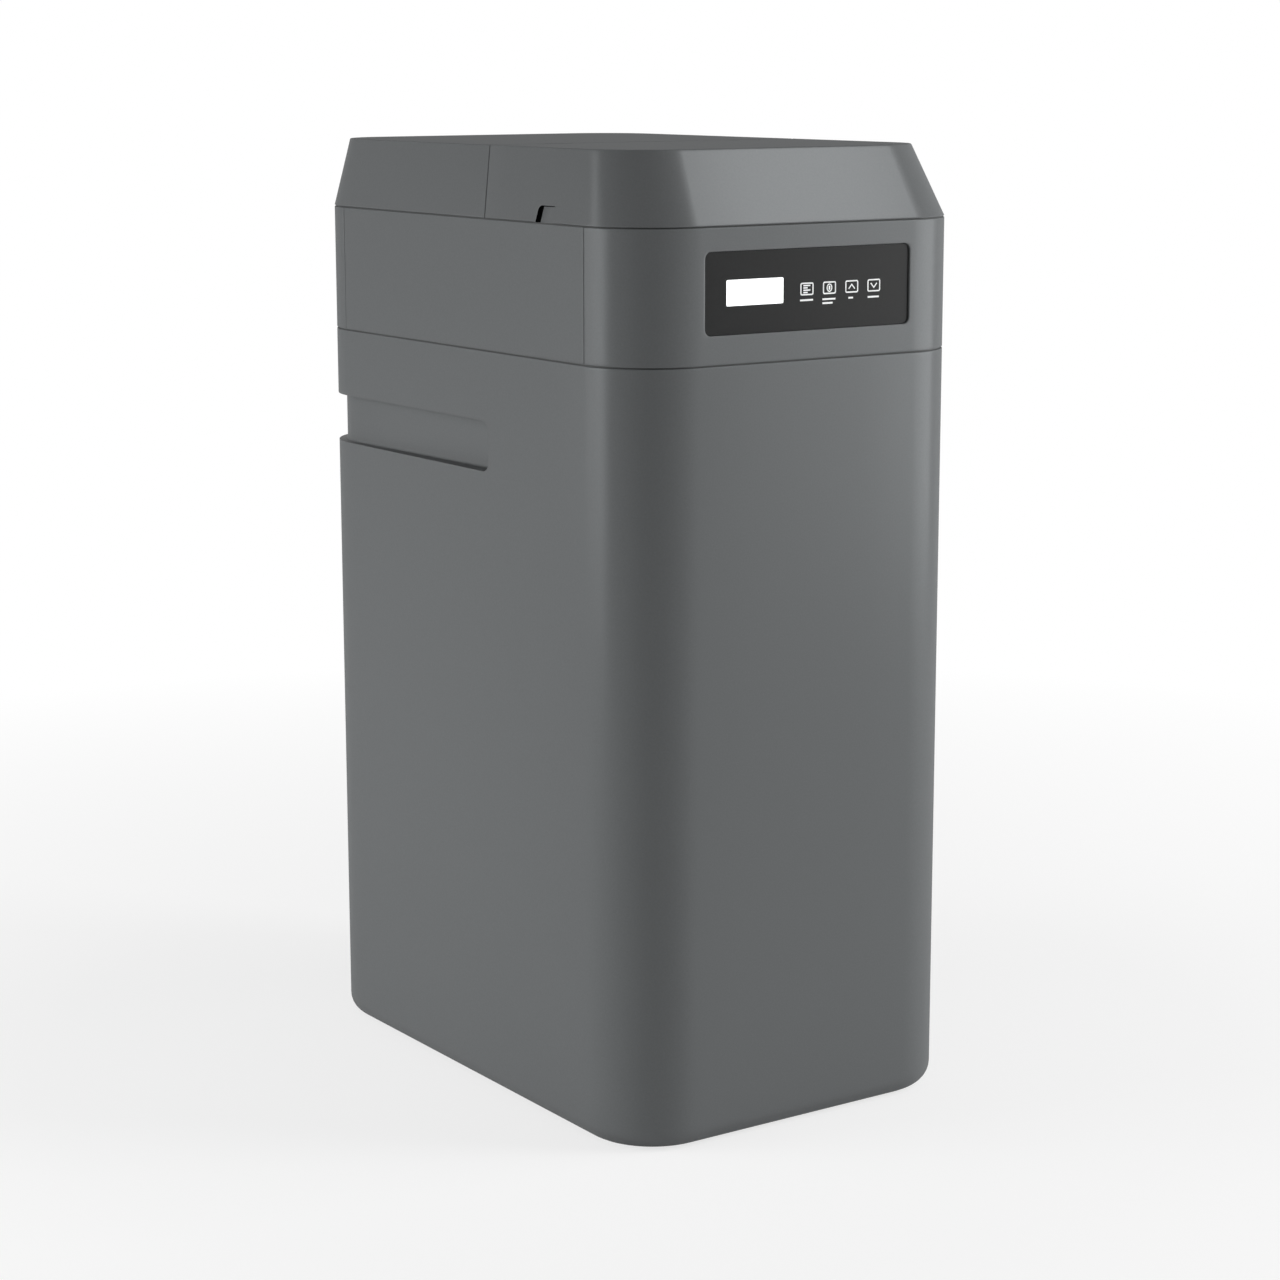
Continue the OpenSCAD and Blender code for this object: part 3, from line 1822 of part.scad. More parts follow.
// Pick-up pipe with its head, the float guides and a slotted cage at the foot
module brine_valve() {
  color("#d9d9d4")
    at_well(0)
      difference() {
        union() {
          translate([0, 0, floor_t])
            cylinder(r = pickup_r, h = injector_z - floor_t);
          translate([0, 0, injector_z - head_half_h])
            cylinder(r = head_r, h = 2 * head_half_h);
          translate([0, 0, injector_z])
            bar_y(line_socket_r, line_socket_l);
          translate([0, 0, floor_t])
            cylinder(r = foot_r, h = guide_up);
          for (z = [guide_low, guide_high])
            translate([0, 0, z])
              cylinder(r = guide_r, h = guide_t);
        }
        translate([0, 0, floor_t + pickup_foot])
          cylinder(r = pickup_bore_r, h = injector_z - floor_t - pickup_foot);
        translate([0, line_end - well_y, injector_z])
          bar_y(line_r + running, line_grip + over);
        translate([0, 0, injector_z])
          bar_y(brine_way_r, line_socket_l);
        for (a = [0, 60, 120])
          rotate([0, 0, a])
            translate([-foot_r - over, -foot_slot_w / 2, floor_t + foot_slot_z])
              cube([2 * (foot_r + over), foot_slot_w, foot_slot_h]);
        translate([-rod_offset, 0, floor_t])
          cylinder(r = float_rod_r + running, h = injector_z);
      }
}

module brine_float() {
  color("#efefe9")
    at_well(float_z)
      difference() {
        cylinder(r = float_r, h = float_h);
        translate([0, 0, -over])
          cylinder(r = pickup_r + fit, h = float_h + 2 * over);
        translate([-rod_offset, 0, -over])
          cylinder(r = float_rod_r + seat, h = float_h + 2 * over);
      }
}

module float_rod() {
  bottom = guide_low - float_travel + over;
  top = guide_high + guide_t + rod_rise;
  color("#d9d9d4")
    translate([well_x - rod_offset, well_y, bottom])
      cylinder(r = float_rod_r, h = top - bottom);
}

// Slotted plate on legs that keeps the salt off the floor
module salt_platform() {
  well_left = well_x - well_r;
  color("#e6e6e2")
    difference() {
      union() {
        translate([0, 0, platform_z])
          linear_extrude(platform_t)
            intersection() {
              plan(platform_gap + cabinet_wall);
              translate([-half_w, -half_d])
                square([cabinet_w, platform_rear + half_d]);
            }
        for (x = [leg_side - half_w, well_left - leg_well])
          for (y = [leg_front - half_d, platform_rear - leg_back])
            translate([x, y, floor_t])
              cylinder(r = leg_r, h = platform_z - floor_t + eps);
      }
      at_well(platform_z - over)
        cylinder(r = well_r + 2 * fit, h = platform_t + 2 * over);
      for (x = [slot_side - half_w : slot_pitch : well_left - slot_well])
        for (y = [slot_front - half_d : slot_step : platform_rear - slot_l - slot_back])
          translate([x - slot_w / 2, y, platform_z - over])
            cube([slot_w, slot_l, platform_t + 2 * over]);
    }
}

cabinet();
head_frame();
front_fascia();
left_side_panel();
right_side_panel();
rear_panel();
panel_screws();
rear_cover();
salt_lid();
hinge_pins();
overflow_fitting();
overflow_nut();
control_panel();
display_window();
display_module();
key_menu();
key_regenerate();
key_up();
key_down();
circuit_board();
key_switches();
electronics_housing();
housing_screws();
power_socket();
supply_cable();
resin_tank();
tank_base();
resin_bed();
riser_tube();
bottom_distributor();
top_screen();
neck_seal();
valve_body();
seal_stack();
piston();
drive_cap();
drive_cap_screws();
main_gear();
reduction_gear();
reduction_axle();
drive_motor();
motor_pinion();
drive_bracket();
injector();
injector_cap();
turbine_cage();
flow_turbine();
drain_elbow();
brine_elbow();
brine_line();
bypass_body();
union_nuts();
inlet_knob();
outlet_knob();
brine_well();
well_cap();
brine_valve();
brine_float();
float_rod();
salt_platform();
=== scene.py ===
"""Looks of a cabinet water softener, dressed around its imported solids."""

import json
import logging
import math
from dataclasses import dataclass
from enum import Enum

import bmesh
import bpy
import numpy as np
from mathutils import Matrix, Vector


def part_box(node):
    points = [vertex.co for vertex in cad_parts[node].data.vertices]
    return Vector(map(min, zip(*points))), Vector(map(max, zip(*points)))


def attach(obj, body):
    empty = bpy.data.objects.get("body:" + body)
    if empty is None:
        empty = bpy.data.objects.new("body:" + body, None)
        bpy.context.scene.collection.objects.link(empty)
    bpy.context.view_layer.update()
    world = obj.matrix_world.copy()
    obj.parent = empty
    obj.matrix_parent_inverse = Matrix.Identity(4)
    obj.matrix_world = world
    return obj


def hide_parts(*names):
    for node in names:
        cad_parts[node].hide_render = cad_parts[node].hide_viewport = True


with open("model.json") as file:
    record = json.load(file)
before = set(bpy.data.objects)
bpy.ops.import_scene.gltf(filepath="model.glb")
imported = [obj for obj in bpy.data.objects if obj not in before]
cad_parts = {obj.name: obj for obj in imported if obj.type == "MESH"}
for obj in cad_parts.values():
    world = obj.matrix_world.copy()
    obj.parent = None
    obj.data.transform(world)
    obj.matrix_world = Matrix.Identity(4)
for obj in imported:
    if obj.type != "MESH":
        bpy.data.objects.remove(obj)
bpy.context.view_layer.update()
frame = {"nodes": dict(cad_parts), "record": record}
LOG = logging.getLogger("water_softener")
MM = 0.001
ROOT = "cabinet"
# Metres within which two points become one
MERGE = 2e-6
# Millimetres within which two places count as the same
TOUCH = 0.01
# Angle between two faces from which their edge is sharp
SHARP = math.radians(38.0)
# Steps round a quarter of the cabinet's plan
BEND = 18
# Millimetres from a rounded edge to the line that keeps the face beside it flat
MARGIN = 1.5
MIRROR = np.array([-1.0, 1.0, 1.0])
# The right half as it is, and the left half
BOTH = (np.ones(3), MIRROR)


def linear(code: str) -> tuple[float, float, float, float]:
    """Turns an sRGB hex colour into linear light by the sRGB curve.

    Args:
        code: six hex digits after a hash sign.

    Returns:
        Red, green, blue and an alpha of 1.
    """
    part = [int(code[i:i + 2], 16) / 255 for i in (1, 3, 5)]
    light = [c / 12.92 if c <= 0.04045 else ((c + 0.055) / 1.055) ** 2.4 for c in part]
    return light[0], light[1], light[2], 1.0


def add(tree: bpy.types.NodeTree, kind: str, settings: dict | None = None,
        links: dict | None = None) -> bpy.types.Node:
    """Adds one node, sets its options and sockets, and links its inputs.

    Args:
        tree: the node tree.
        kind: the node's type.
        settings: values by socket name, or by option name where no socket has it.
        links: output sockets by the name or the number of the input that each feeds.

    Returns:
        The new node.
    """
    node = tree.nodes.new(kind)
    for key, value in (settings or {}).items():
        if key in node.inputs:
            node.inputs[key].default_value = value
        else:
            setattr(node, key, value)
    for key, socket in (links or {}).items():
        tree.links.new(socket, node.inputs[key])
    return node


class Grain(Enum):
    """How a surface was made, which settles its pattern."""

    MOULDED = "cloudy skin of a spark-eroded mould"
    TURNED = "fine lines round a turned or drawn metal"
    WOUND = "crossing bands of wound fibre"
    BEADED = "packed beads"
    LIT = "even light behind a diffuser"


# Share of a turned metal's grain that is left across its lines
TURNED_STRETCH = 0.06
# Lean of wound bands to each side and their turn about the tank, in radians
WOUND_LEAN, WOUND_TURN = 0.6, 0.4
# Wave texture's scale units in one band
WOUND_UNITS = 6.3
# Where the pattern's two colours stand, from 0 to 1
RAMP = (0.3, 0.7)
RELIEF_STRENGTH = 0.6


@dataclass(frozen=True)
class Finish:
    """One material: colours, gloss, and the pattern that breaks them up."""

    name: str
    colour: str
    shade: str
    roughness: float
    grain: Grain = Grain.MOULDED
    grain_mm: float = 1.2
    relief_mm: float = 0.02
    spread: float = 0.08
    metallic: float = 0.0
    ior: float = 1.5
    specular: float = 0.5
    coat: float = 0.0
    glow: float = 0.0

    def pattern(self, tree: bpy.types.NodeTree) -> bpy.types.NodeSocket:
        """Draws the grain on Object coordinates, with one period per grain size.

        Args:
            tree: the material's node tree.

        Returns:
            A socket that goes from 0 to 1 over the pattern.
        """
        place = add(tree, "ShaderNodeTexCoord").outputs["Object"]
        scale = 1.0 / (self.grain_mm * MM)
        if self.grain is Grain.TURNED:
            place = add(tree, "ShaderNodeMapping",
                        {"Scale": (TURNED_STRETCH, 1.0, TURNED_STRETCH)},
                        {"Vector": place}).outputs["Vector"]
        if self.grain is Grain.WOUND:
            lean = [add(tree, "ShaderNodeMapping", {"Rotation": (turn, 0.0, WOUND_TURN)},
                        {"Vector": place}).outputs["Vector"] for turn in (WOUND_LEAN, -WOUND_LEAN)]
            bands = [add(tree, "ShaderNodeTexWave",
                         {"wave_type": "BANDS", "bands_direction": "Z",
                          "Scale": scale / WOUND_UNITS, "Distortion": 1.5, "Detail": 3.0},
                         {"Vector": side}).outputs["Fac"] for side in lean]
            return add(tree, "ShaderNodeMath", {"operation": "MAXIMUM"},
                       dict(enumerate(bands))).outputs["Value"]
        if self.grain is Grain.BEADED:
            return add(tree, "ShaderNodeTexVoronoi", {"Scale": scale},
                       {"Vector": place}).outputs["Distance"]
        return add(tree, "ShaderNodeTexNoise", {"Scale": scale, "Detail": 4.0, "Roughness": 0.6},
                   {"Vector": place}).outputs["Fac"]

    def material(self) -> bpy.types.Material:
        """Makes the material on first use: pattern to colour, roughness and relief.

        Returns:
            The material, shared by every piece of this finish.
        """
        known = bpy.data.materials.get(self.name)
        if known:
            return known
        made = bpy.data.materials.new(self.name)
        made.use_nodes = True
        tree = made.node_tree
        shader = tree.nodes["Principled BSDF"]
        grain = self.pattern(tree)
        ramp = add(tree, "ShaderNodeValToRGB", None, {"Fac": grain})
        for stop, place, code in zip(ramp.color_ramp.elements, RAMP, (self.shade, self.colour)):
            stop.position = place
            stop.color = linear(code)
        rough = add(tree, "ShaderNodeMapRange",
                    {"To Min": self.roughness - self.spread / 2,
                     "To Max": self.roughness + self.spread / 2}, {"Value": grain})
        tree.links.new(ramp.outputs["Color"], shader.inputs["Base Color"])
        tree.links.new(rough.outputs["Result"], shader.inputs["Roughness"])
        if self.relief_mm > 0:
            bump = add(tree, "ShaderNodeBump",
                       {"Strength": RELIEF_STRENGTH, "Distance": self.relief_mm * MM},
                       {"Height": grain})
            tree.links.new(bump.outputs["Normal"], shader.inputs["Normal"])
        for key, value in {"Metallic": self.metallic, "IOR": self.ior,
                           "Specular IOR Level": self.specular, "Coat Weight": self.coat,
                           "Emission Color": linear(self.colour),
                           "Emission Strength": self.glow}.items():
            shader.inputs[key].default_value = value
        return made


# Spark-eroded ABS: an even satin grey; the 0.2 mm texture is drawn at 1.4 mm so that it shows
HOUSING = Finish("moulded_grey_abs", "#6c6e6f", "#686a6b", 0.26, grain_mm=1.4, relief_mm=0.006,
                 spread=0.04, metallic=0.12, ior=1.46, specular=0.0)
# Painted shade: ABS coloured near black, without gloss, on the floor of the slit through the lid's
# wall and along the finger notch's edge, standing in for the shade there
SHADE = Finish("painted_shade_abs", "#0e0f0f", "#0b0c0c", 0.8, grain_mm=1.4, relief_mm=0.0,
               specular=0.0)
# Polypropylene frame in the joints: a darker, duller grey with flow clouds; on the tub's grip
# ledge the same grey is painted shade
FRAME = Finish("moulded_dark_polypropylene", "#3a3c3d", "#343637", 0.6, grain_mm=2.0)
# Hard-coated polycarbonate: near black, and it mirrors the room softly
PANEL = Finish("black_coated_polycarbonate", "#181919", "#151616", 0.33, grain_mm=3.0,
               relief_mm=0.004, specular=0.12)
# Diffuser lit from behind: plain even white
DISPLAY = Finish("lit_display_diffuser", "#fdfefe", "#f6f8f8", 0.3, Grain.LIT, grain_mm=6.0,
                 relief_mm=0.0, glow=0.75)
# Screen-printed ink: matt white with a trace of the mesh, and a faint painted glow that makes it
# brighter than the lamps light it
INK = Finish("white_screen_ink_painted_glow", "#f0f1f1", "#e2e3e3", 0.6, grain_mm=0.8, relief_mm=0.004,
             glow=0.12)
# Solder-masked glass epoxy: glossy green with the copper showing through
BOARD = Finish("green_glass_epoxy", "#2f6b46", "#1f4d33", 0.35, grain_mm=5.0)
# Glass-filled nylon: black, matt, with fibres clouding the skin
FITTING = Finish("black_glass_filled_nylon", "#262728", "#1e1f20", 0.5, grain_mm=1.8,
                 relief_mm=0.03)
# Polypropylene: milky white, soft gloss
WHITE = Finish("white_polypropylene", "#e9e9e4", "#dfdfd9", 0.42, grain_mm=3.0)
# Glass fibre wound wet over a liner and painted blue: bands cross at the winding angle
TANK = Finish("blue_wound_glass_fibre", "#2f6aa6", "#24568c", 0.38, Grain.WOUND, grain_mm=9.0,
              relief_mm=0.25, coat=0.3)
# Ion exchange beads: amber grains of 0.6 mm, drawn at 2 mm so that they show. The pale amber in
# each bead's middle is painted light and the deep brown at its rim is painted shade between the
# beads
RESIN = Finish("amber_resin_beads", "#7a3d12", "#d08a33", 0.3, Grain.BEADED, grain_mm=2.0,
               relief_mm=0.5)
# Moulded rubber: deep matt black
RUBBER = Finish("moulded_black_rubber", "#1b1b1b", "#141414", 0.7, grain_mm=0.9, relief_mm=0.03)
# Zinc-plated steel: bright grey with drawn lines
STEEL = Finish("zinc_plated_steel", "#c3c6c8", "#a9adb0", 0.3, Grain.TURNED, grain_mm=0.6,
               metallic=1.0)
# Pressed motor can: dull plated steel
CAN = Finish("pressed_plated_steel", "#b4b7ba", "#9b9fa3", 0.38, Grain.TURNED, grain_mm=1.0,
             metallic=1.0)
# Turned brass: warm yellow with lathe lines
BRASS = Finish("turned_brass", "#cfa650", "#b48c3c", 0.28, Grain.TURNED, grain_mm=0.5,
               metallic=1.0)
# Natural acetal: ivory, waxy
ACETAL = Finish("natural_acetal", "#ddd7c4", "#d2ccb8", 0.38, grain_mm=2.2)
# Coated piston: mid grey, smooth
PISTON = Finish("coated_grey_acetal", "#8b9094", "#7e8387", 0.32, grain_mm=1.6)
# Acetal coloured red for the bypass knobs
KNOB = Finish("red_acetal", "#b0221f", "#98201d", 0.36, grain_mm=2.0)
# Acetal coloured blue for the meter's turbine
TURBINE = Finish("blue_acetal", "#2b6fb5", "#245f9c", 0.36, grain_mm=2.0)

SLOT_FINISH = {"housing_grey": HOUSING, "frame_grey": FRAME, "panel_black": PANEL,
               "display": DISPLAY, "board_green": BOARD, "fitting_black": FITTING,
               "white_plastic": WHITE, "tank_blue": TANK, "resin_amber": RESIN,
               "rubber_black": RUBBER, "steel": STEEL, "motor_steel": CAN, "brass": BRASS,
               "gear_nylon": ACETAL, "piston_grey": PISTON, "knob_red": KNOB,
               "turbine_blue": TURBINE}


class Shell:
    """Gathers grids of points and flat loops, in millimetres, into one closed mesh."""

    def __init__(self) -> None:
        """Starts with no points."""
        self.points: list[np.ndarray] = []
        self.faces: list[list[int]] = []
        self.slots: list[int] = []
        self.count = 0

    def grid(self, points: np.ndarray, around: bool = False, keep: np.ndarray | None = None,
             slot: np.ndarray | int = 0) -> np.ndarray:
        """Joins each point of a grid with its neighbours by quads.

        Args:
            points: rows by columns by 3.
            around: whether the last column is joined to the first.
            keep: which quads are made, rows less 1 by columns.
            slot: the material slot of all the quads or of each.

        Returns:
            The index of each point.
        """
        rows, columns = points.shape[:2]
        index = self.count + np.arange(rows * columns).reshape(rows, columns)
        self.count += rows * columns
        self.points.append(points.reshape(-1, 3))
        left = index if around else index[:, :-1]
        right = np.roll(index, -1, axis=1) if around else index[:, 1:]
        quads = np.stack([left[:-1], right[:-1], right[1:], left[1:]], axis=-1)
        keep = np.ones(quads.shape[:2], bool) if keep is None else keep
        self.faces += quads[keep].tolist()
        self.slots += np.broadcast_to(slot, keep.shape)[keep].tolist()
        return index

    def cap(self, *loops: np.ndarray) -> None:
        """Closes a flat loop, given as runs of indices, with one face."""
        self.faces.append(np.concatenate(loops).tolist())
        self.slots.append(0)

    def piece(self, name: str, body: str, finishes: list[Finish],
              nodes: tuple[str, ...] = ()) -> None:
        """Puts the mesh into the scene, merged, facing outwards and smooth up to an angle.

        Args:
            name: the piece's name.
            body: the body that it rides on.
            finishes: one finish for each material slot.
            nodes: the CAD nodes that it stands for.
        """
        mesh = bpy.data.meshes.new(name)
        mesh.from_pydata((np.concatenate(self.points) * MM).tolist(), [], self.faces)
        mesh.polygons.foreach_set("material_index", self.slots)
        work = bmesh.new()
        work.from_mesh(mesh)
        bmesh.ops.remove_doubles(work, verts=work.verts, dist=MERGE)
        bmesh.ops.dissolve_degenerate(work, edges=work.edges, dist=MERGE)
        bmesh.ops.recalc_face_normals(work, faces=work.faces)
        work.to_mesh(mesh)
        work.free()
        mesh.shade_smooth()
        mesh.set_sharp_from_angle(angle=SHARP)
        for finish in finishes:
            mesh.materials.append(finish.material())
        made = bpy.data.objects.new(name, mesh)
        bpy.context.scene.collection.objects.link(made)
        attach(made, body)
        if nodes:
            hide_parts(*nodes)
        LOG.info("%s: %d faces on %s", name, len(mesh.polygons), body)


@dataclass
class Track:
    """Points of a plan outline with the direction outwards at each."""

    point: np.ndarray
    normal: np.ndarray

    @property
    def tangent(self) -> np.ndarray:
        """Direction of travel: the outward normal turned a quarter to the left."""
        return np.stack([-self.normal[:, 1], self.normal[:, 0]], axis=-1)

    @staticmethod
    def line(start: tuple[float, float], end: tuple[float, float], along: np.ndarray) -> "Track":
        """Points at distances along a line, with the normal to its right.

        Args:
            start: where the line starts.
            end: a point that it heads for.
            along: distances from the start.

        Returns:
            The track.
        """
        way = np.subtract(end, start) / np.linalg.norm(np.subtract(end, start))
        point = np.asarray(start, float) + np.asarray(along, float)[:, None] * way
        return Track(point, np.broadcast_to([way[1], -way[0]], point.shape).copy())

    @staticmethod
    def arc(centre: tuple[float, float], radius: float, first: float, last: float,
            steps: int) -> "Track":
        """Points on a circle: the centre plus the radius times each direction.

        Args:
            centre: the circle's centre.
            radius: its radius.
            first: the first direction in degrees.
            last: the last direction in degrees.
            steps: how many equal steps.

        Returns:
            The track.
        """
        angle = np.radians(np.linspace(first, last, steps + 1))
        way = np.stack([np.cos(angle), np.sin(angle)], axis=-1)
        return Track(np.asarray(centre, float) + radius * way, way)

    @staticmethod
    def chain(*parts: "Track") -> "Track":
        """Joins tracks end to end, without the point that two of them share.

        Args:
            parts: the tracks in order.

        Returns:
            One track.
        """
        cut = [slice(None, -1)] * (len(parts) - 1) + [slice(None)]
        return Track(np.concatenate([p.point[c] for p, c in zip(parts, cut)]),
                     np.concatenate([p.normal[c] for p, c in zip(parts, cut)]))

    @staticmethod
    def rounded(low: tuple[float, float], high: tuple[float, float], corner: float,
                steps: int) -> "Track":
        """Plan of a rounded rectangle: four quarter circles in turn, counterclockwise.

        Args:
            low: the lowest corner.
            high: the highest corner.
            corner: the rounding of its corners.
            steps: how many steps to a quarter circle.

        Returns:
            The track, with both ends of each quarter.
        """
        (x0, y0), (x1, y1) = np.add(low, corner), np.subtract(high, corner)
        arcs = [Track.arc(centre, corner, first, first + 90, steps) for centre, first in
                (((x1, y0), -90), ((x1, y1), 0), ((x0, y1), 90), ((x0, y0), 180))]
        return Track(np.concatenate([a.point for a in arcs]),
                     np.concatenate([a.normal for a in arcs]))

    def sheet(self, inset: np.ndarray, height: np.ndarray,
              shift: np.ndarray | float = 0.0) -> np.ndarray:
        """Carries the outline up: point plus shift along it, less inset along its normal.

        Args:
            inset: rows by columns, how far inside the outline.
            height: rows by columns, the z of each point.
            shift: rows by columns, how far each point moves along the outline.

        Returns:
            Rows by columns by 3.
        """
        size = np.broadcast_shapes(np.shape(inset), np.shape(height), (1, len(self.point)))
        deep, tall, move = (np.broadcast_to(k, size)[..., None] for k in (inset, height, shift))
        flat = self.point + move * self.tangent - deep * self.normal
        return np.concatenate([flat, tall], axis=-1)


def quarter(steps: int = 4) -> tuple[np.ndarray, np.ndarray]:
    """Sines and cosines of a quarter turn in equal steps."""
    angle = np.linspace(0, np.pi / 2, steps + 1)
    return np.sin(angle), np.cos(angle)


@dataclass(frozen=True)
class Pocket:
    """A recess in a wall: rounded corners, rounded lip and filleted floor."""

    corner: float
    lip: float
    fillet: float
    depth: float
    apron: tuple[float, ...] = (-30.0, -20.0, -12.0, -6.0, -3.0)

    @property
    def brink(self) -> int:
        """The lip's last ring."""
        return len(self.rings[0]) // 2 - 1

    @property
    def rings(self) -> tuple[np.ndarray, np.ndarray]:
        """Section of the edge: a quarter circle over the lip, and one into the floor.

        Returns:
            Steps in from the opening's edge, and the share of the depth at each.
        """
        sine, cosine = quarter(3)
        step = np.concatenate([self.lip * (sine - 1), self.fillet * (1 - cosine)])
        drop = np.concatenate([self.lip * (1 - cosine), self.depth - self.fillet * (1 - sine)])
        return step, drop / self.depth

    @property
    def lines(self) -> tuple[np.ndarray, np.ndarray]:
        """All lines along the edge: the apron outside, the rings, and three on the floor.

        Returns:
            Steps in from the edge, and each line's ring, from -1 outside.
        """
        step = self.rings[0]
        inner = np.linspace(max(self.fillet, 0.0), self.corner, 4)[1:]
        ring = np.concatenate([np.full(len(self.apron), -1), np.arange(len(step)),
                               np.full(len(inner), len(step))])
        return np.concatenate([self.apron, step, inner]), ring

    def spare(self, step: np.ndarray) -> np.ndarray:
        """Share of the wall by which the back's lines stand outside the face's, from 0 to 1."""
        return np.clip((step - self.apron[0]) / (self.apron[-2] - self.apron[0]), 0, 1)

    def share(self, rows: np.ndarray, columns: np.ndarray) -> np.ndarray:
        """Share of the depth at each crossing: that of the outer of its two rings."""
        table = np.concatenate([[0.0], self.rings[1], [1.0]])
        return table[np.minimum(rows[:, None], columns[None, :]) + 1]

    def round_off(self, across: np.ndarray, up: np.ndarray) -> tuple[np.ndarray, np.ndarray]:
        """Bends square rings about a corner's centre into circles, less so outside the lip.

        A point's ring is the larger of its two distances, and the smaller one, as a share of
        it, is its share of an eighth of a turn.

        Args:
            across: each column's distance outwards from the centre of the corner's arc.
            up: each row's distance outwards from that centre.

        Returns:
            How far each point moves outwards across and up.
        """
        a, b = np.meshgrid(across, up)
        within = (a > 0) & (b > 0)
        a, b = np.where(within, a, 1.0), np.where(within, b, 1.0)
        ring = np.maximum(a, b)
        turn = np.minimum(a, b) / ring * np.pi / 4
        angle = np.where(a >= b, turn, np.pi / 2 - turn)
        start = self.corner + self.lip
        reach = self.corner - self.apron[0]
        hold = np.where(within, 1 - np.clip((ring - start) / (reach - start), 0, 1), 0)
        return hold * (ring * np.cos(angle) - a), hold * (ring * np.sin(angle) - b)


def revolve(profile: np.ndarray, centre: tuple[float, float, float], axis: str,
            steps: int) -> np.ndarray:
    """Turns a profile of (along, radius) points about an axis.

    Args:
        profile: points along the axis and away from it.
        centre: where the axis starts.
        axis: X, Y or Z.
        steps: how many points round.

    Returns:
        Profile points by steps by 3.
    """
    angle = np.linspace(0, 2 * np.pi, steps, endpoint=False)
    order = {"X": (0, 1, 2), "Y": (1, 2, 0), "Z": (2, 0, 1)}[axis]
    out = np.empty((len(profile), steps, 3))
    out[..., order[0]] = profile[:, :1]
    out[..., order[1]] = profile[:, 1:] * np.cos(angle)
    out[..., order[2]] = profile[:, 1:] * np.sin(angle)
    return out + np.asarray(centre)


def add_drum(shell: Shell, span: tuple[float, float], radius: float, edge: float,
             centre: tuple[float, float, float], axis: str, steps: int = 72,
             way: np.ndarray = BOTH[0]) -> None:
    """Adds a solid drum: in along its foot, round both edges, and in along its top.

    Args:
        shell: where it goes.
        span: where it starts and ends along its axis.
        radius: its radius.
        edge: the rounding of its edges.
        centre: where its axis starts.
        axis: X, Y or Z.
        steps: how many points round.
        way: 1 or -1 on each axis.
    """
    (low, high), flat = span, radius - 2 * edge
    sine, cosine = quarter()
    foot = np.stack([low + edge * (1 - cosine), radius - edge * (1 - sine)], axis=-1)
    top = np.stack([high - edge * (1 - sine), radius - edge * (1 - cosine)], axis=-1)
    profile = np.concatenate([[[low, 0.0]], [[low, flat]], foot, top,
                              [[high, flat]], [[high, 0.0]]])
    shell.grid(revolve(profile, centre, axis, steps) * way, around=True)


def add_block(shell: Shell, low: tuple[float, float, float], high: tuple[float, float, float],
              edge: float, corner: float = 0.0, way: np.ndarray = BOTH[0]) -> None:
    """Adds a block: a section with rounded foot and top, carried round a rounded rectangle.

    Args:
        shell: where it goes.
        low: lowest corner.
        high: highest corner.
        edge: rounding of the foot and the top.
        corner: rounding of the plan, just over that of the edges at the least.
        way: 1 or -1 on each axis.
    """
    track = Track.rounded(low[:2], high[:2], max(corner, edge * 1.01), 5)
    sine, cosine = quarter()
    inset = edge * np.concatenate([1 - sine, 1 - cosine])
    height = np.concatenate([low[2] + edge * (1 - cosine), high[2] - edge * (1 - sine)])
    index = shell.grid(track.sheet(inset[:, None], height[:, None]) * way, around=True)
    shell.cap(index[0])
    shell.cap(index[-1])


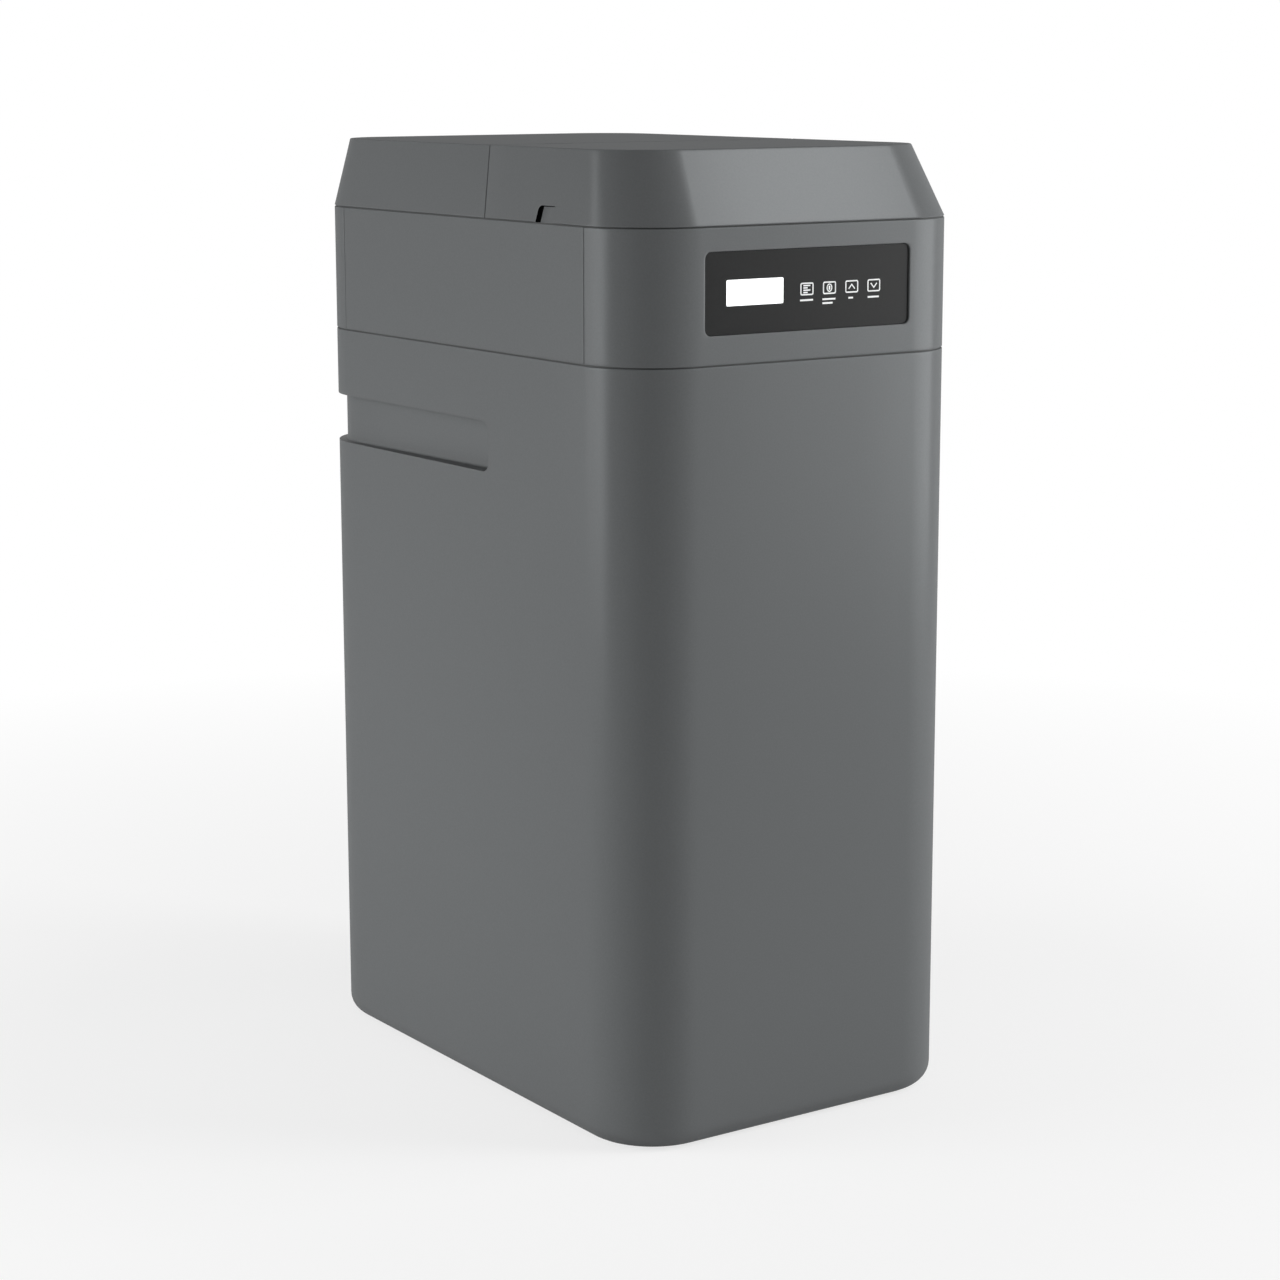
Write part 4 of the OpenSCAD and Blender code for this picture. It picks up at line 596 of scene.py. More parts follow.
@dataclass
class Cabinet:
    """The tub: rounded base, hand grips let into its sides, and the notch for the hoses."""

    wall: float = 4.0
    corner: float = 60.0
    base_edge: float = 16.0
    rim_edge: float = 0.7
    grip: Pocket = Pocket(corner=8.0, lip=0.4, fillet=2.0, depth=14.0)
    grip_front: float = -43.5
    grip_low: float = 500.0
    grip_high: float = 539.0
    grip_shallow: float = 7.0
    grip_rear: float = 96.0
    notch_half: float = 86.0
    notch_floor: float = 467.2
    middle_x: float = 50.0
    side_front: tuple[float, ...] = (-140.0, -100.0)
    side_rear: tuple[float, ...] = (0.0, 60.0, 120.0)
    side_z: tuple[float, ...] = (18.0, 120.0, 240.0, 360.0, 440.0)
    rim_line: float = 8.0

    def __post_init__(self) -> None:
        """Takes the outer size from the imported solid."""
        self.half_w, self.half_d, self.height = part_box("cabinet")[1] / MM

    def columns(self) -> tuple[Track, np.ndarray, np.ndarray, np.ndarray, np.ndarray]:
        """Half the outline from the front's middle round the right to the back's middle.

        Returns:
            The track, each column's ring of the grip, its depth, its distance ahead of the
            centres of the grip's front corners, and its move on the wall's back in walls.
        """
        w, d, c = self.half_w, self.half_d, self.corner
        step, ring = self.grip.lines
        far = ring.max()
        before, after = len(self.side_front) + 1, len(self.side_rear) + 1
        side_y = np.concatenate([[c - d], self.side_front, self.grip_front + step,
                                 self.side_rear, [d - c]])
        inside = (ring >= 0) & (ring < far)
        rear_x = np.concatenate([[w - c, w - c - 1], (self.grip_rear + step[inside])[::-1],
                                 [self.grip_rear - 3, self.notch_half, self.middle_x, 0.0]])
        parts = [Track.line((0, -d), (1, -d), np.array([0, self.middle_x, w - c])),
                 Track.arc((w - c, c - d), c, -90, 0, BEND),
                 Track.line((w, c - d), (w, d), side_y - side_y[0]),
                 Track.arc((w - c, d - c), c, 0, 90, BEND),
                 Track.line((w - c, d), (0, d), rear_x[0] - rear_x)]
        rings, depth, ahead, slide = ([np.full(len(part.point), value) for part in parts]
                                      for value in (-1, self.grip_shallow, -1.0, 0.0))
        rings[2] = np.concatenate([[-1] * before, ring, [far] * after])
        rings[3][:] = far
        rings[4] = np.concatenate([[far, far], ring[inside][::-1], [-1] * 4])
        share = np.clip((side_y - self.grip_front) / (d - c - self.grip_front), 0, 1)
        depth[2] = self.grip.depth + share * (self.grip_shallow - self.grip.depth)
        ahead[2] = self.grip_front + self.grip.corner - side_y
        slide[2][before:-after] = -self.grip.spare(step)
        slide[4][2:-3] = 1.0
        cut = [slice(None, -1)] * (len(parts) - 1) + [slice(None)]
        marks = (np.concatenate([mark[k] for mark, k in zip(group, cut)])
                 for group in (rings, depth, ahead, slide))
        return Track.chain(*parts), *marks

    def rows(self) -> tuple[np.ndarray, np.ndarray, np.ndarray, np.ndarray, np.ndarray]:
        """The wall's section, from the middle of the foot up, over the rim and down inside.

        Returns:
            Heights, insets, rings of the grip, 1 for the wall that the grip can bend, and moves
            up of the wall's back in walls.
        """
        step, ring = self.grip.lines
        base, rim, top, wall = self.base_edge, self.rim_edge, self.height, self.wall
        below, above = [*self.side_z, self.notch_floor], [top - self.rim_line, top - rim - MARGIN]
        z = np.concatenate([below, self.grip_low + step, [(self.grip_low + self.grip_high) / 2],
                            (self.grip_high - step)[::-1], above])
        on = np.concatenate([[-1] * len(below), ring, [ring.max()], ring[::-1],
                             [-1] * len(above)])
        sine, cosine = quarter(8)
        few_sine, few_cosine = quarter(3)
        parts = [(base * (1 - cosine), base * (1 - sine), -1),
                 (z, np.zeros(len(z)), on),
                 (top - rim + rim * few_sine, rim * (1 - few_cosine), -1),
                 (top - rim + rim * few_cosine, wall - rim + rim * few_sine, -1),
                 (z[::-1], np.full(len(z), wall), on[::-1]),
                 (base - (base - wall) * sine, wall + (base - wall) * (1 - cosine), -1)]
        height, inset = (np.concatenate([p[k] for p in parts]) for k in (0, 1))
        rings = [np.broadcast_to(p[2], p[0].shape) for p in parts]
        bend = [np.full(len(p[0]), float(i in (1, 4))) for i, p in enumerate(parts)]
        spare = self.grip.spare(step)
        lift = [np.zeros(len(p[0])) for p in parts]
        lift[4] = np.concatenate([np.zeros(len(above)), spare, [0.0], -spare[::-1],
                                  np.zeros(len(below))])
        return height, inset, np.concatenate(rings), np.concatenate(bend), np.concatenate(lift)

    def build(self) -> None:
        """Carries the section round the outline, bends the grips in and opens the notch."""
        track, column_ring, depth, ahead, slide = self.columns()
        z, inset, row_ring, bend, lift = self.rows()
        back = (bend > 0) & (inset > 0)
        below = np.where(bend > 0, self.grip_low + self.grip.corner - z, -1)
        above = np.where(bend > 0, z - self.grip_high + self.grip.corner, -1)
        low_a, low_b = self.grip.round_off(ahead, below)
        high_a, high_b = self.grip.round_off(ahead, above)
        share = self.grip.share(row_ring, column_ring) * depth
        move = self.wall * (back[:, None] * slide[None, :]) - low_a - high_a
        points = track.sheet(inset[:, None] + share,
                             (z + self.wall * lift)[:, None] - low_b + high_b, move)
        rear = (track.normal[:, 1] > 0.999) & (track.point[:, 0] < self.notch_half + TOUCH)
        high = z > self.notch_floor - TOUCH
        gone = (high[:-1] & high[1:])[:, None] & (rear[:-1] & rear[1:])[None, :]
        brink = self.grip.brink
        # Painted shade: the quads of the grip's ledge under its lip take slot 1, the frame's
        # darker grey, standing in for the shade there
        shaded_ledge = (row_ring[:-1] == brink) & (row_ring[1:] == brink + 1) & ~back[1:]
        dark = shaded_ledge[:, None] & ((column_ring[:-1] > brink) & (column_ring[1:] > brink))[None, :]
        first, last = np.flatnonzero(high)[[0, -1]]
        edge = np.flatnonzero(rear)[0]
        shell = Shell()
        halves = []
        for way in BOTH:
            index = shell.grid(points * way, keep=~gone, slot=dark.astype(int))
            shell.cap(index[first:last + 1, edge])
            shell.grid((points * way)[[first, last]][:, edge:])
            halves.append(index)
        for row in (0, -1):
            shell.cap(halves[0][row], halves[1][row][::-1])
        # Slot 1, the frame's grey, is painted shade on the grip's ledge
        shell.piece("cabinet_tub", ROOT, [HOUSING, FRAME], ("cabinet",))


@dataclass
class Band:
    """The ring of four panels between the tub and the lid, with the control panel's window."""

    wall: float = 3.0
    edge: float = 0.5
    corner: float = 60.0
    gap: float = 0.4
    window: Pocket = Pocket(corner=5.3, lip=0.45, fillet=0.0, depth=3.0, apron=(-5.2, -3.0, -1.5))
    window_grow: float = 0.3
    window_x: tuple[float, ...] = (0.0, 45.0, 80.0)
    side_lines: int = 7
    side_margin: float = 20.0
    bend_from: float = 6.0

    def __post_init__(self) -> None:
        """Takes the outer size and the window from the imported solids."""
        low, high = (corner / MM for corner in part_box("rear_panel"))
        self.half_w, self.half_d, self.low, self.high = high[0], high[1], low[2], high[2]
        low, high = (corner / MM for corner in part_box("control_panel"))
        self.window_half = high[0] + self.window_grow
        self.window_low, self.window_high = low[2] - self.window_grow, high[2] + self.window_grow

    def border(self) -> tuple[np.ndarray, np.ndarray]:
        """Section of a panel's edge: the back, the edge wall, and a quarter circle.

        Returns:
            Steps in from the edge, and the inset at each.
        """
        sine, cosine = quarter(3)
        step = np.concatenate([[0.0], self.edge * (1 - cosine), [self.edge + MARGIN]])
        inset = np.concatenate([[self.wall], self.edge * (1 - sine), [0.0]])
        return step, inset

    def slab(self, shell: Shell, track: Track, column_inset: np.ndarray, z: np.ndarray,
             row_inset: np.ndarray, way: np.ndarray,
             shift: tuple[np.ndarray | float, np.ndarray | float] = (0.0, 0.0),
             extra: np.ndarray | float = 0.0, keep: np.ndarray | None = None) -> None:
        """Lays a panel's face and its back over the same lines, which meet along its edges.

        Args:
            shell: where the faces go.
            track: the panel's outline.
            column_inset: inset that each column's edge asks for.
            z: height of each row.
            row_inset: inset that each row's edge asks for.
            way: 1 or -1 on each axis.
            shift: how far points move along the outline and up.
            extra: further inset of the face at each point.
            keep: which quads are made.
        """
        inset = np.maximum(column_inset[None, :], row_inset[:, None]) + extra
        height = z[:, None] + shift[1]
        for face in (np.minimum(inset, self.wall), np.full(inset.shape, self.wall)):
            shell.grid(track.sheet(face, height, shift[0]) * way, keep=keep)

    def build(self) -> None:
        """Builds the side panels, the rear panel and the fascia."""
        step, inset = self.border()
        z = np.concatenate([self.low + step, [(self.low + self.high) / 2],
                            (self.high - step)[::-1]])
        row_inset = np.concatenate([inset, [0.0], inset[::-1]])
        reach = self.half_d - self.corner - self.gap / 2
        middle = np.linspace(self.side_margin, 2 * reach - self.side_margin, self.side_lines)
        along = np.concatenate([step, middle, (2 * reach - step)[::-1]])
        side = Track.line((self.half_w, -reach), (self.half_w, reach), along)
        side_inset = np.concatenate([inset, np.zeros(self.side_lines), inset[::-1]])
        for name, way in zip(("right_side_panel", "left_side_panel"), BOTH):
            shell = Shell()
            self.slab(shell, side, side_inset, z, row_inset, way)
            shell.piece(name + "_skin", ROOT, [HOUSING], (name,))
        turn = np.degrees((self.gap / 2 + step) / self.corner)
        angle = np.radians(np.concatenate([turn, np.linspace(self.bend_from, 90, BEND)]))
        way_out = np.stack([np.cos(angle), np.sin(angle)], axis=-1)
        centre = np.array([self.half_w - self.corner, self.half_d - self.corner])
        bend = Track(centre + self.corner * way_out, way_out)
        bend_inset = np.concatenate([inset, np.zeros(BEND)])
        flat = Track.line((centre[0], self.half_d), (0, self.half_d), np.linspace(0, centre[0], 4))
        column_inset = np.concatenate([bend_inset[:-1], np.zeros(len(flat.point))])
        shell = Shell()
        for way in BOTH:
            self.slab(shell, Track.chain(bend, flat), column_inset, z, row_inset, way)
        shell.piece("rear_panel_skin", ROOT, [HOUSING], ("rear_panel",))
        self.fascia(bend, bend_inset)

    def fascia(self, bend: Track, bend_inset: np.ndarray) -> None:
        """Builds the front panel with its window for the control panel.

        Args:
            bend: the rear panel's corner, turned round here for the front.
            bend_inset: the inset of each of its columns.
        """
        step, inset = self.border()
        line, ring = self.window.lines
        far = ring.max()
        x = np.concatenate([self.window_x, (self.window_half - line)[::-1]])
        x[-1] = self.half_w - self.corner
        flip = np.array([1.0, -1.0])
        track = Track.chain(Track.line((0, -self.half_d), (1, -self.half_d), x),
                            Track(bend.point[::-1] * flip, bend.normal[::-1] * flip))
        column_inset = np.concatenate([np.zeros(len(x) - 1), bend_inset[::-1]])
        column_ring = np.concatenate([[far] * len(self.window_x), ring[::-1],
                                      np.full(len(bend_inset) - 1, -1)])
        z = np.concatenate([self.low + step, self.window_low + line,
                            [(self.window_low + self.window_high) / 2],
                            (self.window_high - line)[::-1], (self.high - step)[::-1]])
        row_ring = np.concatenate([[-1] * len(step), ring, [far], ring[::-1], [-1] * len(step)])
        row_inset = np.concatenate([inset, np.zeros(2 * len(line) + 1), inset[::-1]])
        ahead = np.full(len(column_inset), -1.0)
        ahead[:len(x)] = x - self.window_half + self.window.corner
        low_a, low_b = self.window.round_off(ahead, self.window_low + self.window.corner - z)
        high_a, high_b = self.window.round_off(ahead, z - self.window_high + self.window.corner)
        open_at = np.minimum(row_ring[:, None], column_ring[None, :]) >= far - 1
        gone = open_at[:-1, :-1] & open_at[1:, :-1] & open_at[:-1, 1:] & open_at[1:, 1:]
        extra = self.window.share(row_ring, column_ring) * self.wall
        shell = Shell()
        for way in BOTH:
            self.slab(shell, track, column_inset, z, row_inset, way,
                      (low_a + high_a, high_b - low_b), extra, ~gone)
        shell.piece("front_fascia_skin", ROOT, [HOUSING], ("front_fascia",))


@dataclass
class Lid:
    """The hinged salt lid and the lift-off rear cover, cut from one chamfered form."""

    wall: float = 3.0
    corner: float = 60.0
    top_corner: float = 50.0
    side_in: float = 15.4
    front_in: float = 29.0
    rear_in: float = 8.3
    split: float = -42.0
    lean: float = 16.0
    gap: float = 0.8
    rim_edge: float = 0.5
    top_edge: float = 1.1
    cover_edge: float = 0.8
    split_edge: float = 0.6
    crown_rows: int = 7
    barrel: float = 4.0
    barrel_edge: float = 0.4
    knuckle_x: float = 90.0
    knuckle_half: float = 15.0
    knuckle_r: float = 3.7
    knuckle_edge: float = 0.5
    knuckle_room: float = 0.3
    pocket_room: float = 9.0
    arm_half: float = 3.0
    notch: Pocket = Pocket(corner=4.0, lip=0.25, fillet=0.2, depth=2.2, apron=(-9.0, -5.0, -2.0))
    slit: float = 2.8
    notch_y: float = -114.0
    notch_front: float = -148.0
    notch_h: float = 12.5
    tab: tuple[float, float, float, float] = (150.0, 152.4, 682.0, 704.0)
    tab_y: tuple[float, float] = (14.0, 126.0)
    tab_l: float = 40.0
    tab_edge: float = 0.4
    middle_x: float = 40.0
    side_front: tuple[float, float] = (-163.0, -155.0)
    side_notch: float = -135.0
    side_rear: tuple[float, float] = (-90.0, -60.0)
    side_reach: float = 170.0
    low_lines: tuple[float, ...] = (1.2, 3.0, 5.0)
    high_lines: tuple[float, ...] = (30.0, 50.0)
    under_crown: float = 3.0

    def __post_init__(self) -> None:
        """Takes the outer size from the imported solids, and the hinge's axis from the split."""
        self.half_w, self.half_d, self.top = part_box("rear_cover")[1] / MM
        self.low = (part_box("salt_lid")[0] / MM)[2]
        self.slope = math.atan(self.lean / (self.top - self.low))
        self.hinge_z = self.top - self.barrel
        self.hinge_y = (self.split_at(self.hinge_z) - self.gap / 2
                        - self.barrel / math.cos(self.slope))

    @property
    def pocket(self) -> tuple[float, float]:
        """Where the pocket for a knuckle starts and ends across the salt lid."""
        half = self.knuckle_half + self.knuckle_room
        return self.knuckle_x - half, self.knuckle_x + half

    def split_at(self, z: float) -> float:
        """Where the middle of the leaning split is at a height."""
        return self.split + (z - self.low) * math.tan(self.slope)

    def outline(self, front: bool, upper: bool) -> Track:
        """Half the plan of one lid, with matching columns at its foot and at its top.

        Args:
            front: the salt lid, or else the rear cover.
            upper: the plan of the top, or else of the foot.

        Returns:
            The track, counterclockwise from x = 0 to x = 0.
        """
        w = self.half_w - (self.side_in if upper else 0)
        c = self.top_corner if upper else self.corner
        split = self.split_at(self.top if upper else self.low)
        e = self.split_edge
        cross = np.concatenate([[0, self.middle_x], np.repeat(self.pocket, 2), [w - e]])
        if front:
            d = self.half_d - (self.front_in if upper else 0)
            face = split - self.gap / 2
            step, _ = self.notch.lines
            side_y = np.concatenate([[c - d, self.side_front[upper], self.notch_front,
                                      self.side_notch], (self.notch_y - step)[::-1],
                                     self.side_rear, [face - e]])
            parts = [Track.line((0, -d), (1, -d), np.array([0, self.middle_x, w - c])),
                     Track.arc((w - c, c - d), c, -90, 0, BEND),
                     Track.line((w, c - d), (w, 0), side_y - side_y[0]),
                     Track.arc((w - e, face - e), e, 0, 90, 3),
                     Track.line((w - e, face), (0, face), (w - e) - cross[::-1])]
        else:
            d = self.half_d - (self.rear_in if upper else 0)
            face = split + self.gap / 2
            parts = [Track.line((0, face), (1, face), cross),
                     Track.arc((w - e, face + e), e, -90, 0, 3),
                     Track.line((w, face + e), (w, d), np.linspace(0, d - c - face - e, 6)),
                     Track.arc((w - c, d - c), c, 0, 90, BEND),
                     Track.line((w - c, d), (0, d), np.array([0, w - c - self.middle_x, w - c]))]
        return Track.chain(*parts)

    def crown(self, track: Track, front: bool) -> tuple[np.ndarray, np.ndarray]:
        """Section of the top edge at each column, as steps down the side and in along the top.

        The edge is a curve with its control point on the sharp edge. Along the split of the salt
        lid it is an arc about the hinge's axis, resolved along the leaning face and the top, with
        square pockets where the cover's knuckles go.

        Args:
            track: the top's plan.
            front: whether this is the salt lid.

        Returns:
            Steps down and steps in, each with rows by columns.
        """
        t = np.linspace(0, 1, self.crown_rows)[:, None]
        on_split = np.abs(track.normal[:, 1] - (1 if front else -1)) < 1e-6
        on_split &= np.abs(track.point[:, 1] - self.split_at(self.top)) < 1.0
        size = np.where(on_split, self.cover_edge, self.top_edge)[None, :]
        down, inward = size * (1 - t) ** 2, size * t ** 2
        if front:
            angle = t * (np.pi / 2 + self.slope) - self.slope
            reach = self.barrel / math.tan(np.pi / 4 - self.slope / 2)
            drop = self.barrel * (1 - np.sin(angle)) / math.cos(self.slope)
            down[:, on_split] = drop
            inward[:, on_split] = (reach - self.barrel * np.cos(angle)
                                   - drop * math.sin(self.slope))
            x, (start, end) = track.point[:, 0], self.pocket
            place = np.flatnonzero(on_split & (x > start - TOUCH) & (x < end + TOUCH))[1:3]
            down[:, place] = self.pocket_room * np.clip(2 - 2 * t, 0, 1)
            inward[:, place] = self.pocket_room * np.clip(2 * t, 0, 1)
        return down, inward

    def notch_marks(self, foot: Track, side: np.ndarray,
                    ) -> tuple[np.ndarray, np.ndarray, np.ndarray, np.ndarray]:
        """Marks the columns of the salt lid that the finger notch takes up.

        The notch's floor rises from its rear end to nothing at its front end, and a slit of even
        depth runs up its rear end.

        Args:
            foot: the plan of the foot.
            side: which columns are on the straight side.

        Returns:
            Each column's ring of the notch, its depth, its distance behind the centre of the
            notch's corner, and whether it is in the slit.
        """
        step, ring = self.notch.lines
        y = foot.point[:, 1]
        into = self.notch_y - y
        nearest = ring[np.abs(step - into[:, None]).argmin(axis=1)]
        on = np.where(into < self.notch.corner, nearest, ring.max())
        column_ring = np.where(side & (y >= self.notch_front + TOUCH), on, -1)
        rise = np.clip((y - self.notch_front) / (self.notch_y - self.notch_front), 0, 1)
        slit = (column_ring >= 0) & (into < self.slit)
        depth = np.where(slit, self.slit, np.where(side, self.notch.depth * rise, 0.0))
        return column_ring, depth, np.where(side, self.notch.corner - into, -1.0), slit

    def half(self, front: bool) -> tuple[np.ndarray, np.ndarray, np.ndarray]:
        """Ruled side from foot to top, its crown, and the finger notch bent into it.

        Args:
            front: the salt lid, or else the rear cover.

        Returns:
            Points of the outside, points of the inside, and the outside's quads painted with
            shade: the slit's floor and the notch's edge rings.
        """
        foot, top = self.outline(front, False), self.outline(front, True)
        count, tall = len(foot.point), self.top - self.low
        rise = np.concatenate([top.point - foot.point, np.full((count, 1), tall)], axis=1)
        length = np.linalg.norm(rise, axis=1)
        rise /= length[:, None]
        down, inward = self.crown(top, front)
        step, ring = self.notch.lines
        far = ring.max()
        v = np.concatenate([self.low_lines, (self.notch_h - step)[::-1], self.high_lines])
        row_ring = np.concatenate([[far] * len(self.low_lines), ring[::-1],
                                   [-1] * len(self.high_lines)])
        side = (foot.normal[:, 0] > 0.9999) & (np.abs(foot.point[:, 1]) < self.side_reach)
        column_ring, depth, ahead, slit = self.notch_marks(foot, side & front)
        shift, lift = self.notch.round_off(ahead, v - self.notch_h + self.notch.corner)
        sink = self.notch.share(row_ring, column_ring) * depth
        even = v[:, None] / v[-1] * (length - down[0] - self.under_crown)
        climb = np.where(side, v[:, None], even) + lift
        base, flat_n, go = (np.concatenate([k, np.full((count, 1), z)], axis=1) for k, z in
                            ((foot.point, self.low), (foot.normal, 0.0), (foot.tangent, 0.0)))
        out_n = flat_n - (flat_n * rise).sum(1, keepdims=True) * rise
        out_n /= np.linalg.norm(out_n, axis=1, keepdims=True)
        wall = base + climb[..., None] * rise + shift[..., None] * go - sink[..., None] * out_n
        sine, cosine = quarter(3)
        foot_in = np.concatenate([[self.wall], self.rim_edge * (1 - sine)])
        foot_up = np.concatenate([[0.0], self.rim_edge * (1 - cosine)])
        low_rows = base + foot_up[:, None, None] * rise - foot_in[:, None, None] * flat_n
        low_rows[1:] -= sink[0][:, None] * out_n
        ridge = base + length[:, None] * rise
        near_top = ridge - (down[0] + MARGIN)[:, None] * rise
        crown = ridge - down[..., None] * rise - inward[..., None] * flat_n
        # The last line stops at the side's and the split's own, so that the loop never crosses
        brow = ridge - (inward[-1] + MARGIN)[:, None] * flat_n
        brow[:, 0] = np.minimum(brow[:, 0], top.point[:, 0].max() - self.top_edge - MARGIN)
        brow[:, 1] = (np.minimum(brow[:, 1], brow[-1, 1]) if front
                      else np.maximum(brow[:, 1], brow[0, 1]))
        outer = np.concatenate([low_rows, wall, near_top[None], crown, brow[None]])
        up = np.array([0.0, 1.0, tall / 2, tall - self.wall - 1, tall - self.wall])
        inner = base - self.wall * flat_n + up[:, None, None] * (rise / rise[:, 2:])
        rows = np.concatenate([[far] * len(low_rows), row_ring, [-1] * (len(crown) + 2)])
        # Painted shade: the notch's edge rings and the slit's floor take slot 1, the near-black
        # finish
        down_in, along_in = ((k[:-1] >= 0) & (k[1:] >= 0) for k in (rows, column_ring))
        shaded_brim = down_in & (np.maximum(rows[:-1], rows[1:]) < far)
        deep = slit[:-1] & slit[1:]
        dark = (shaded_brim[:, None] & along_in[None, :]) | (down_in[:, None] & deep[None, :])
        return outer, inner, dark

    def lid(self, front: bool, node: str) -> None:
        """Closes one lid's outside and inside, which meet at its foot, and adds its fittings.

        Args:
            front: the salt lid, or else the rear cover.
            node: the CAD node that it stands for, and its body.
        """
        outer, inner, dark = self.half(front)
        shell = Shell()
        sides = [(shell.grid(outer * way, slot=dark.astype(int)), shell.grid(inner * way))
                 for way in BOTH]
        for right, left in zip(*sides):
            shell.cap(right[-1], left[-1][::-1])
        if front:
            start, end = self.pocket
            last = self.half_w - self.side_in - self.wall / 2
            for span in ((-start, start), (end, last), (-last, -end)):
                add_drum(shell, span, self.knuckle_r, self.barrel_edge,
                         (0, self.hinge_y, self.hinge_z), "X", 32)
        else:
            self.fittings(shell)
        # Slot 1 is painted shade on the slit's floor and along the notch's edge
        shell.piece(node + "_skin", node, [HOUSING, SHADE], (node,))

    def fittings(self, shell: Shell) -> None:
        """Adds the cover's hinge knuckles, the arms that carry them, and its locating tabs.

        Args:
            shell: the rear cover.
        """
        start, end = self.knuckle_x - self.knuckle_half, self.knuckle_x + self.knuckle_half
        arm_end = self.split_at(self.hinge_z) + (self.gap + self.wall) / 2
        near, far, low, high = self.tab
        for way in BOTH:
            add_drum(shell, (start, end), self.knuckle_r, self.knuckle_edge,
                     (0, self.hinge_y, self.hinge_z), "X", 32, way)
            add_block(shell, (start, self.hinge_y, self.hinge_z - self.arm_half),
                      (end, arm_end, self.hinge_z + self.arm_half), self.tab_edge, way=way)
            for y in self.tab_y:
                for foot, side in ((low, far), (self.low + 1, far + self.wall)):
                    add_block(shell, (near, y, foot), (side, y + self.tab_l, high),
                              self.tab_edge, way=way)

    def build(self) -> None:
        """Builds both lids."""
        self.lid(True, "salt_lid")
        self.lid(False, "rear_cover")


class Mark(Enum):
    """Printed sign on each key."""

    MENU = "key_menu"
    REGENERATE = "key_regenerate"
    UP = "key_up"
    DOWN = "key_down"


@dataclass
class ControlPanel:
    """Printed outlines, signs and short bars on the black panel."""

    ink: float = 0.06
    stroke: float = 1.0
    clear: float = 0.05
    key_half: tuple[float, float] = (6.15, 4.7)
    key_corner: float = 1.6
    menu_left: float = -3.3
    menu_lines: tuple[tuple[float, float], ...] = ((2.5, 3.1), (0.8, 0.6), (-0.9, 3.1),
                                                   (-2.6, 0.6))
    drop_half: tuple[float, float] = (2.2, 2.7)
    drop_stroke: float = 0.8
    drop_core: tuple[float, ...] = (1.5, 0.3, -1.5)
    drop_core_w: float = 1.5
    arrow: tuple[tuple[float, float], ...] = ((-2.9, -1.7), (0.0, 1.6), (2.9, -1.7))
    arrow_stroke: float = 0.9
    bar_h: float = 1.3
    bars: tuple[tuple[float, float, float], ...] = (
        (-7.8, 4.2, 637.3), (13.0, 25.2, 637.2), (13.0, 22.6, 634.3), (37.4, 41.8, 637.2),
        (55.8, 66.5, 637.0))

    def __post_init__(self) -> None:
        """Takes the panel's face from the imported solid."""
        self.face = (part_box("control_panel")[0] / MM)[1]

    def ribbon(self, shell: Shell, path: np.ndarray, width: float, closed: bool = False) -> None:
        """Draws a line on the face: each point moves half the width along its mitre.

        Args:
            shell: where the line goes.
            path: points of x and z.
            width: the line's width.
            closed: whether its end is its start.
        """
        ahead = np.roll(path, -1, axis=0) - path
        if not closed:
            ahead[-1] = ahead[-2]
        ahead /= np.linalg.norm(ahead, axis=1, keepdims=True)
        back = np.roll(ahead, 1, axis=0)
        if not closed:
            back[0] = ahead[0]
        square = np.stack([-ahead[:, 1], ahead[:, 0]], axis=-1)
        mitre = np.stack([-(ahead + back)[:, 1], (ahead + back)[:, 0]], axis=-1)
        mitre /= np.maximum((mitre * square).sum(1), 0.3)[:, None]
        side = width / 2 * mitre
        flat = np.stack([path + side, path - side, path - side, path + side], axis=1)
        top = self.face - self.ink
        deep = np.broadcast_to([top, top, self.face, self.face], flat.shape[:2])
        points = np.stack([flat[..., 0], deep, flat[..., 1]], axis=-1)
        if closed:
            points = np.concatenate([points, points[:1]])
        index = shell.grid(points, around=True)
        if not closed:
            shell.cap(index[0])
            shell.cap(index[-1])

    def sign(self, shell: Shell, mark: Mark, middle: np.ndarray) -> None:
        """Draws one key's sign: lines, a drop's ring and core, or an arrow head.

        Args:
            shell: where the lines go.
            mark: which sign.
            middle: x and z of the key's middle.
        """
        if mark is Mark.MENU:
            for up, right in self.menu_lines:
                self.ribbon(shell, middle + [[self.menu_left, up], [right, up]], self.stroke)
        elif mark is Mark.REGENERATE:
            angle = np.linspace(0, 2 * np.pi, 32, endpoint=False)
            ring = np.stack([np.cos(angle), np.sin(angle)], axis=-1) * self.drop_half
            self.ribbon(shell, middle + ring, self.drop_stroke, True)
            self.ribbon(shell, middle + [[0.0, up] for up in self.drop_core], self.drop_core_w)
        else:
            turn = 1 if mark is Mark.UP else -1
            self.ribbon(shell, middle + np.multiply(self.arrow, [1, turn]), self.arrow_stroke)

    def build(self) -> None:
        """Prints each key's outline and sign, and the short bars below the keys."""
        inner = self.stroke / 2 + self.clear
        for mark in Mark:
            low, high = (np.array(corner)[[0, 2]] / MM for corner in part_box(mark.value))
            middle = (low + high) / 2
            half = np.array(self.key_half) - inner
            outline = Track.rounded(middle - half, middle + half, self.key_corner - inner, 6)
            shell = Shell()
            self.ribbon(shell, outline.point, self.stroke, True)
            self.sign(shell, mark, middle)
            shell.piece(mark.value + "_print", mark.value, [INK])
        shell = Shell()
        for left, right, z in self.bars:
            self.ribbon(shell, np.array([[left, z], [right, z]]), self.bar_h)
        shell.piece("caption_bars", ROOT, [INK])


